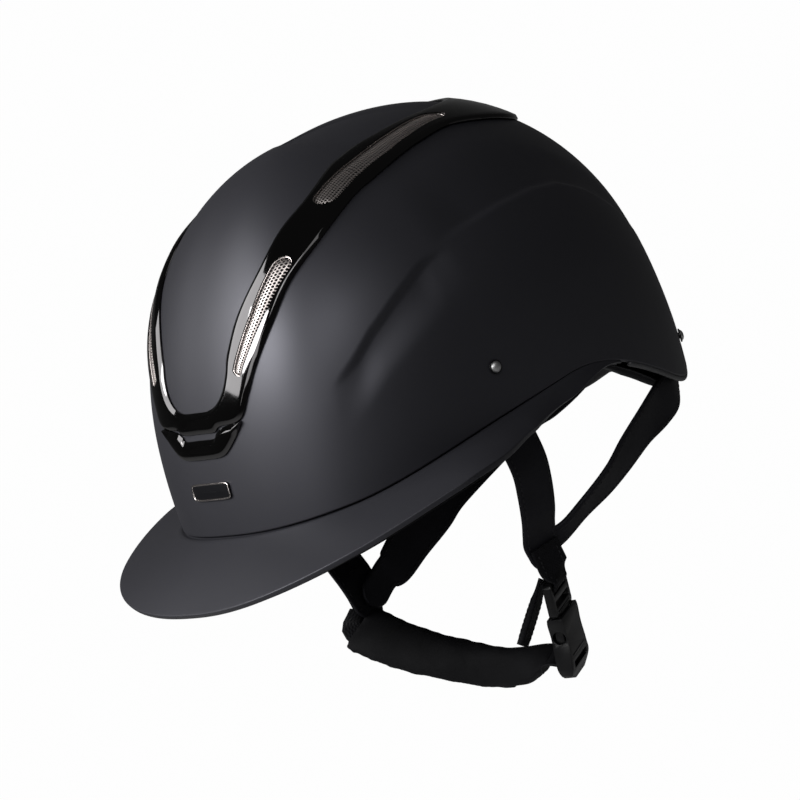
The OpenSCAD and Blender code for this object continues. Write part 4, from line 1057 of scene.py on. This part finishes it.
def build_webbing():
    """The hanger through the ladder, the loose end and the chin strap, all of woven tape."""
    across_buckle = turned([0, 1, 0])
    top = PIVOT_LEFT + over_lap(1)
    rows = [row(top + LAP_DOWN * k, LAP_ACROSS, WEB_W, WEB_T) for k in (-3, -2.2, 3, LAP_R + 0.3)]
    loop = [(WEB_OVER, 0.3), (WEB_OVER, -2.6), (WEB_OVER - 1.1, -4.4), (0.6, -4.9),
            (-WEB_OVER + 0.5, -4.4), (-WEB_OVER, -2.6), (-WEB_OVER, -0.5)]
    rows += [row(in_buckle([x, 0, z]), across_buckle, WEB_W, WEB_T) for x, z in loop]
    fine = webbing("hanger_webbing", "hanger", "hanger_strap", rows, 8)
    stitches("hanger_stitches", fine[10:70], 3.0, (1,), "hanger", pitch=2.6, length=1.9)
    tail_top = in_buckle([-WEB_OVER - 0.6 - WEB_T, 0, -1])
    way = turned([-0.37, -0.47, -0.8])
    rows = [row(tail_top + way * d, across_buckle, WEB_W, WEB_T * k)
            for d, k in ((0, 1), (6, 1), (12, 1.9), (24, 2.1), (34, 1.9))]
    fine = webbing("tail_webbing", "tail", "strap_tail", rows, 8)
    stitches("tail_stitches", fine[12:], 2.4, (1, -1), "tail", pitch=2.6, length=1.9)
    top = PIVOT_RIGHT + over_lap(-1)
    rows = round_end(top, -LAP_DOWN, -LAP_ACROSS, WEB_W / 2, WEB_T)[::-1]
    rows += [row(PIVOT_RIGHT + over_lap(-1) * 1.2 + LAP_DOWN * 13, -LAP_ACROSS, WEB_W, WEB_T)]
    rows += [q[:6] + [WEB_W, WEB_T] for q in CHIN_ROWS]
    rows += [row(in_buckle(v), -across_buckle, WEB_W, WEB_T)
             for v in ([-9, 0, SOCKET_SLOT + 1], [-4.4, 0, SOCKET_SLOT], [2.5, 0, SOCKET_SLOT])]
    webbing("chin_webbing", "chin", "chin_strap", rows, 6)


# Soft pieces
PAD_VOXEL, PAD_PRESSURE, PAD_CAP, PAD_STEPS = 3.0, 4, 1.6, 20
SLACK = 0.93   # the pad starts this much smaller where it is swelled
PAD_THICK = 6  # thickness of the liner's pads
# The liner's outer face and its depth at the side, front, rear and top
LINER_OUT, LINER_DEPTH = np.array([3.5] * 4), np.array([15, 21, 28, 23])


def points_of(mesh):
    """The mesh's points as rows."""
    flat = np.empty(len(mesh.vertices) * 3, np.float32)
    mesh.vertices.foreach_get("co", flat)
    return flat.reshape(-1, 3)


def cushion(obj):
    """Swells a closed form with a short cloth simulation: remesh, twenty steps under inner
    pressure without gravity, no point moved further than the cap, and one subdivision."""
    m = obj.modifiers.new("remesh", "REMESH")
    m.mode, m.voxel_size = "VOXEL", PAD_VOXEL * MM
    apply_all(obj)
    before = points_of(obj.data)
    c = obj.modifiers.new("cloth", "CLOTH")
    c.settings.use_pressure = True
    c.settings.uniform_pressure_force = PAD_PRESSURE
    c.settings.effector_weights.gravity = 0
    c.settings.quality = 5
    c.point_cache.frame_start, c.point_cache.frame_end = 1, PAD_STEPS
    scene = bpy.context.scene
    for k in range(1, PAD_STEPS + 1):
        scene.frame_set(k)
    apply_all(obj)
    move = points_of(obj.data) - before
    far = np.linalg.norm(move, axis=1, keepdims=True)
    move *= np.minimum(1, PAD_CAP * MM / np.maximum(far, 1e-9))
    obj.data.vertices.foreach_set("co", (before + move).ravel().astype(np.float32))
    scene.frame_set(1)
    fine = obj.modifiers.new("fine", "SUBSURF")
    fine.levels = fine.render_levels = 1
    apply_all(obj)
    set_smooth(obj.data)


def build_chin_pad():
    """A padded sleeve round the chin strap: a soft oval section, |cos|^0.75 by |sin|^1.1,
    carried along the strap with shallow puckers, cos(14 pi i + 2 sin(4.6 pi i)), and swelled."""
    rows = np.asarray(spline(CHIN_ROWS, 16))
    p, _, w, n = path_frame(rows)
    i = np.linspace(0, 1, len(rows))[:, None]
    c = circle(64)
    cos, sin = c[None, :, 0], c[None, :, 1]
    slack = SLACK
    pucker = 0.02 * np.cos(2 * np.pi * 7 * i + 2.0 * np.sin(2 * np.pi * 2.3 * i))
    x = rows[:, 6:7] / 2 * (1 + 0.6 * pucker) * np.sign(cos) * np.abs(cos) ** 0.75 * slack
    y = rows[:, 7:8] / 2 * np.sign(sin) * np.abs(sin) ** 1.1 * (1 + pucker) * slack
    grid = p[:, None] + x[..., None] * w[:, None] + y[..., None] * n[:, None]
    pad = surface("chin_padding", grid, m_pad(), ends=True)
    cushion(pad)
    seated(pad, "chin", "pad", "chin_pad")


def build_brow_band(pad_out):
    """The brow band with its rolled hem, a closed spline through eight corners of its section;
    the hem thins where the straps pass it and rises inwards behind the ears."""
    t = np.arange(0, 360, 2.0)
    r, a, v = rim(t), folded(t), bevel(t)
    hem = (4 * (1 - 0.6 * ease(108, 114, a) * (1 - ease(118, 124, a)))
           * (1 - 0.7 * ease(130, 148, a)))
    pad_in = pad_out + PAD_THICK
    foam = [LINER_OUT + LINER_DEPTH * k for k in (0.25, 0.32, 0.85)]
    corner = [(foam[0], -0.2 + 0 * hem), (foam[0], -0.2 - 0.2 * hem), (foam[1], -hem),
              (foam[2], 0.85 * v - hem),
              (pad_in, v + 4 - hem), (pad_in, 0.6 * v + 30), (pad_out + 3, 0.6 * v + 34),
              (pad_out, 0.96 * v - 0.2)]
    rows = np.stack([dome(t, r + z, tuple(k)) for k, z in corner], 0)
    ring = spline(rows.reshape(8, -1), 6, closed=True).reshape(48, len(t), 3).transpose(1, 0, 2)
    band = surface("brow_padding", ring, m_band(), wrap_u=True)
    seated(band, "helmet", "pad", "brow_band")


def build_crown_pad(pad_out):
    """The crown pad: its thickness rises from the edge and dips along a pressed channel."""
    t = np.arange(0, 360, 3.0)[:, None]
    f = np.linspace(0, 1, 40)[None, :]

    def face(inset):
        """A face of the pad at this inset, from its edge up to the crown."""
        h = shape().height / MM - inset[3]
        p = math.asin(92 / h)
        return dome(t, h * np.sin(p + (np.pi / 2 - p) * f), tuple(inset))

    thick = (0.42 + 0.58 * ease(0, 0.12, f)) * (1 - 0.35 * np.exp(-((f - 0.6) / 0.05) ** 2))
    top = face(pad_out)
    low = top + (face(pad_out + PAD_THICK) - top) * thick[..., None]
    crown = surface("crown_padding", np.concatenate([top[:, ::-1], low], 1), m_pad(), wrap_u=True,
                    wrap_v=False)
    seated(crown, "helmet", "pad", "crown_pad")


def build_liner_pads():
    """The brow band and the crown pad inside the liner, and the liner's own foam."""
    pad_out = LINER_OUT + LINER_DEPTH + 0.8
    build_brow_band(pad_out)
    build_crown_pad(pad_out)
    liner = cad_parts["impact_liner"]
    liner.data.materials.clear()
    liner.data.materials.append(m_foam())


# Buckle
EDGE_ROUND = 0.35  # of the mouldings
MOULDINGS = (("buckle_ladder", "hanger", "ladder_moulding"),
             ("prong_front", "catch_front", "prong_moulding_front"),
             ("prong_back", "catch_back", "prong_moulding_back"),
             ("buckle_socket", "chin", "socket_moulding"))


def build_buckle():
    """The buckle's four mouldings: the CAD solids with their edges rounded over."""
    for cad, body, name in MOULDINGS:
        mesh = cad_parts[cad].data.copy()
        mesh.materials.clear()
        mesh.materials.append(m_buckle())
        obj = bpy.data.objects.new(name, mesh)
        bpy.context.scene.collection.objects.link(obj)
        bm = bmesh.new()
        bm.from_mesh(mesh)
        bmesh.ops.remove_doubles(bm, verts=bm.verts, dist=1e-5)
        bmesh.ops.dissolve_limit(bm, angle_limit=math.radians(2), verts=bm.verts, edges=bm.edges)
        bm.to_mesh(mesh)
        bm.free()
        set_smooth(mesh)
        m = obj.modifiers.new("bevel", "BEVEL")
        m.width, m.segments = EDGE_ROUND * MM, 2
        m.limit_method, m.angle_limit = "ANGLE", math.radians(40)
        m.harden_normals = True
        apply_all(obj)
        seated(obj, body, "buckle", cad)


# Stage
CAMERA_TURN, CAMERA_HEIGHT, CAMERA_ROLL, CAMERA_AWAY = 58.4, 10.3, 23.55, 3.0
CAMERA_LENS, CAMERA_SHIFT = 272.7, (0.03525, -0.05125)
LAMP_AWAY = 2.2
# name, turn, height, size in metres, and what a mirror would show of it
LAMPS = (("key", -10, 34, (1.1, 0.75), 19.0), ("wide right", -40, 37, (1.1, 1.5), 5.2),
         ("side", 52, 35, (1.2, 0.75), 5.0), ("low front", 20, 12, (1.1, 0.7), 2.9),
         ("far side", 85, 34, (1.1, 0.75), 1.3))


def camera_axes():
    """Right, up and back of the photograph's view: turned from the front, raised, rolled."""
    a, e, r = np.radians([CAMERA_TURN, CAMERA_HEIGHT, CAMERA_ROLL])
    b = np.array([np.sin(a) * np.cos(e), -np.cos(a) * np.cos(e), np.sin(e)])
    right = np.array([np.cos(a), np.sin(a), 0])
    up = np.cross(b, right)
    return right * np.cos(r) - up * np.sin(r), right * np.sin(r) + up * np.cos(r), b


def placed(obj, right, up, back, at):
    """Links an object with these axes at this point."""
    bpy.context.scene.collection.objects.link(obj)
    m = np.eye(4)
    m[:3, 0], m[:3, 1], m[:3, 2], m[:3, 3] = right, up, back, at
    obj.matrix_world = Matrix(m.tolist())


def area_lamp(name, turn, height, size, level):
    """A soft lamp facing the helmet from a turn and a height in degrees. The level is what a
    mirror would show of it: its power over pi times its area."""
    t, h = math.radians(turn), math.radians(height)
    d = np.array([math.sin(t) * math.cos(h), -math.cos(t) * math.cos(h), math.sin(h)])
    lamp = bpy.data.lights.new(name, "AREA")
    lamp.shape, lamp.size, lamp.size_y = "RECTANGLE", size[0], size[1]
    lamp.energy = level * math.pi * size[0] * size[1] * bpy.context.scene.helmet_stage.lamps
    obj = bpy.data.objects.new(name, lamp)
    side = unit(np.cross([0, 0, 1.0], d))
    placed(obj, side, np.cross(d, side), d, d * LAMP_AWAY + [0, 0, 0.03])
    obj.visible_camera = False


def white_material(name, seen_share, glossy_share):
    """Pale floor: white to the camera, dim in reflections, and a plain surface to light."""
    mat = bpy.data.materials.new(name)
    mat.use_nodes = True
    t = mat.node_tree
    p = t.nodes["Principled BSDF"]
    p.inputs["Base Color"].default_value = (0.3, 0.3, 0.3, 1)
    p.inputs["Roughness"].default_value = 0.9
    glow = t.nodes.new("ShaderNodeEmission")
    mix = t.nodes.new("ShaderNodeMixShader")
    path = t.nodes.new("ShaderNodeLightPath")
    seen = math_node(t, "MULTIPLY", path.outputs["Is Camera Ray"], seen_share)
    mirrored = math_node(t, "MAXIMUM", path.outputs["Is Glossy Ray"],
                         path.outputs["Is Transmission Ray"])
    shown = math_node(t, "MULTIPLY", mirrored, glossy_share)
    t.links.new(math_node(t, "MAXIMUM", seen, shown), mix.inputs["Fac"])
    t.links.new(p.outputs["BSDF"], mix.inputs[1])
    t.links.new(glow.outputs["Emission"], mix.inputs[2])
    t.links.new(mix.outputs["Shader"], t.nodes["Material Output"].inputs["Surface"])
    return mat


def studio_world():
    """An even dim surround that the camera sees as white."""
    world = bpy.data.worlds.new("studio")
    world.use_nodes = True
    t = world.node_tree
    bg = t.nodes["Background"]
    bg.inputs["Color"].default_value = (1, 1, 1, 1)
    path = t.nodes.new("ShaderNodeLightPath")
    level = math_node(t, "MAXIMUM", path.outputs["Is Camera Ray"],
                      bpy.context.scene.helmet_stage.world)
    t.links.new(level, bg.inputs["Strength"])
    return world


def build_backdrop(far):
    """Floor and backdrop in one sheet, flat, then a quarter circle, then upright, facing the
    photograph's view."""
    s = np.linspace(0, 1, 40)[None, :]
    x = np.linspace(-9000, 9000, 9)[:, None]
    bend = np.clip((s - 0.55) / 0.15, 0, 1) * np.pi / 2
    depth = -6000 + 9500 * np.minimum(s, 0.55) / 0.55 + 1500 * np.sin(bend)
    height = -700 + 1500 * (1 - np.cos(bend)) + np.maximum(0, s - 0.7) / 0.3 * 6000
    side, up = np.cross([0, 0, 1.0], far), np.array([0, 0, 1.0])
    grid = (x[..., None] * side + (depth + 0 * x)[..., None] * far
            + (height + 0 * x)[..., None] * up)
    surface("floor", grid, white_material("Pale floor", 0.988, 0.02), wrap_v=False)


def build_stage():
    """Floor and backdrop, the camera, the lamps and the world."""
    scene = bpy.context.scene
    scene.view_settings.view_transform = "Standard"
    right, up, b = camera_axes()
    build_backdrop(-unit(b * (1, 1, 0)))
    cam = bpy.data.cameras.new("camera")
    cam.sensor_width, cam.lens, cam.clip_end = 36, CAMERA_LENS, 60
    cam.shift_x, cam.shift_y = CAMERA_SHIFT
    obj = bpy.data.objects.new("camera", cam)
    placed(obj, right, up, b, np.array([0, 0, 0.04]) + CAMERA_AWAY * b)
    scene.camera = obj
    scene.world = studio_world()
    for lamp in LAMPS:
        area_lamp(*lamp)


# Add-on
def length_property(label, text, value):
    """A length that the panel shows in the scene's unit."""
    return bpy.props.FloatProperty(name=label, description=text, default=value, unit="LENGTH")


def colour_property(label, text, value):
    """A colour that the panel shows as a swatch."""
    return bpy.props.FloatVectorProperty(name=label, description=text, subtype="COLOR", size=3,
                                         default=value)


def share_property(label, text, value):
    """A share of the light, never negative."""
    return bpy.props.FloatProperty(name=label, description=text, default=value, min=0)


class HelmetShape(bpy.types.PropertyGroup):
    """Sizes of the helmet, as in the part's source."""
    width: length_property("Shell width", "Outside width of the shell", 0.202)
    front: length_property("Brow", "From the widest section forward to the brow", 0.118)
    rear: length_property("Occiput", "From the widest section back to the occiput", 0.162)
    height: length_property("Crown height", "Height of the crown over the brim seam", 0.156)
    wall: length_property("Wall", "Wall of the moulded shell", 0.003)
    crease: length_property("Crease depth", "Depth of the crease on each side", 0.0022)
    brim_front: length_property("Brim front", "Reach of the brim at the front", 0.039)
    brim_corner: length_property("Brim corner", "Reach of the brim at its widest", 0.043)
    trim: length_property("Trim height", "Height of the trim over the shell", 0.0024)


class HelmetFinish(bpy.types.PropertyGroup):
    """Colours of the helmet's finishes."""
    shell: colour_property("Shell", "Soft-touch paint", (0.016, 0.016, 0.019))
    trim: colour_property("Trim", "Gloss lacquer", (0.075, 0.073, 0.074))
    grille: colour_property("Grille", "Dark bronzed metal", (0.6, 0.55, 0.53))
    strap: colour_property("Straps", "Leather and webbing", (0.006, 0.006, 0.0075))
    pad: colour_property("Pads", "Knitted padding", (0.004, 0.004, 0.005))
    buckle: colour_property("Buckle", "Moulded buckle", (0.007, 0.007, 0.008))


class HelmetStage(bpy.types.PropertyGroup):
    """Levels of the studio light."""
    world: share_property("World", "Strength of the even light", 0.04)
    lamps: share_property("Lamps", "Share of the lamps' power", 1.0)


class HELMET_OT_stage(bpy.types.Operator):
    """Floor, backdrop, camera and soft light."""
    bl_idname = "helmet.stage"
    bl_label = "Stage"

    def execute(self, context):
        build_stage()
        return {"FINISHED"}


class HELMET_OT_shell(bpy.types.Operator):
    """The moulded shell with its creases and vents."""
    bl_idname = "helmet.shell"
    bl_label = "Shell"

    def execute(self, context):
        build_shell()
        return {"FINISHED"}


class HELMET_OT_brim(bpy.types.Operator):
    """The wide brim and its lining."""
    bl_idname = "helmet.brim"
    bl_label = "Brim"

    def execute(self, context):
        build_brim()
        return {"FINISHED"}


class HELMET_OT_piping(bpy.types.Operator):
    """Piping under the shell's rear edge."""
    bl_idname = "helmet.piping"
    bl_label = "Piping"

    def execute(self, context):
        build_piping()
        return {"FINISHED"}


class HELMET_OT_trim(bpy.types.Operator):
    """The glossy band and the lip at the brow."""
    bl_idname = "helmet.trim"
    bl_label = "Vent trim"

    def execute(self, context):
        build_trim()
        return {"FINISHED"}


class HELMET_OT_grilles(bpy.types.Operator):
    """Five perforated grilles in bright beads."""
    bl_idname = "helmet.grilles"
    bl_label = "Grilles"

    def execute(self, context):
        build_grilles()
        return {"FINISHED"}


class HELMET_OT_badge(bpy.types.Operator):
    """A bare badge plate with a raised border."""
    bl_idname = "helmet.badge"
    bl_label = "Badge"

    def execute(self, context):
        build_badge()
        return {"FINISHED"}


class HELMET_OT_rivets(bpy.types.Operator):
    """Rivet heads and washers."""
    bl_idname = "helmet.rivets"
    bl_label = "Rivets"

    def execute(self, context):
        build_rivets()
        return {"FINISHED"}


class HELMET_OT_straps(bpy.types.Operator):
    """Leather side straps with stitching."""
    bl_idname = "helmet.straps"
    bl_label = "Side straps"

    def execute(self, context):
        build_straps()
        return {"FINISHED"}


class HELMET_OT_webbing(bpy.types.Operator):
    """Hanger, loose end and chin strap of woven tape."""
    bl_idname = "helmet.webbing"
    bl_label = "Webbing"

    def execute(self, context):
        build_webbing()
        return {"FINISHED"}


class HELMET_OT_chin_pad(bpy.types.Operator):
    """The padded sleeve under the chin."""
    bl_idname = "helmet.chin_pad"
    bl_label = "Chin pad"

    def execute(self, context):
        build_chin_pad()
        return {"FINISHED"}


class HELMET_OT_liner_pads(bpy.types.Operator):
    """Brow band and crown pad."""
    bl_idname = "helmet.liner_pads"
    bl_label = "Liner pads"

    def execute(self, context):
        build_liner_pads()
        return {"FINISHED"}


class HELMET_OT_buckle(bpy.types.Operator):
    """The side-release buckle."""
    bl_idname = "helmet.buckle"
    bl_label = "Buckle"

    def execute(self, context):
        build_buckle()
        return {"FINISHED"}


OPERATORS = [HELMET_OT_stage, HELMET_OT_shell, HELMET_OT_brim, HELMET_OT_piping, HELMET_OT_trim,
             HELMET_OT_grilles, HELMET_OT_badge, HELMET_OT_rivets, HELMET_OT_straps,
             HELMET_OT_webbing, HELMET_OT_chin_pad, HELMET_OT_liner_pads, HELMET_OT_buckle]


class HELMET_PT_panel(bpy.types.Panel):
    """Shows the helmet's sizes, colours and light, and lists its pieces."""
    bl_label = "Riding Helmet"
    bl_space_type = "VIEW_3D"
    bl_region_type = "UI"
    bl_category = "Helmet"

    def draw(self, context):
        scene = context.scene
        for owner in (scene.helmet_shape, scene.helmet_finish, scene.helmet_stage):
            for key in owner.__annotations__:
                self.layout.prop(owner, key)
        for op in OPERATORS:
            self.layout.operator(op.bl_idname)


CLASSES = [HelmetShape, HelmetFinish, HelmetStage, *OPERATORS, HELMET_PT_panel]


def register():
    for c in CLASSES:
        bpy.utils.register_class(c)
    bpy.types.Scene.helmet_shape = bpy.props.PointerProperty(type=HelmetShape)
    bpy.types.Scene.helmet_finish = bpy.props.PointerProperty(type=HelmetFinish)
    bpy.types.Scene.helmet_stage = bpy.props.PointerProperty(type=HelmetStage)


def unregister():
    del bpy.types.Scene.helmet_shape, bpy.types.Scene.helmet_finish, bpy.types.Scene.helmet_stage
    for c in reversed(CLASSES):
        bpy.utils.unregister_class(c)


def main():
    """Builds every piece in order."""
    register()
    for op in OPERATORS:
        getattr(bpy.ops.helmet, op.bl_idname.split(".")[1])()


if __name__ == "__main__":
    main()
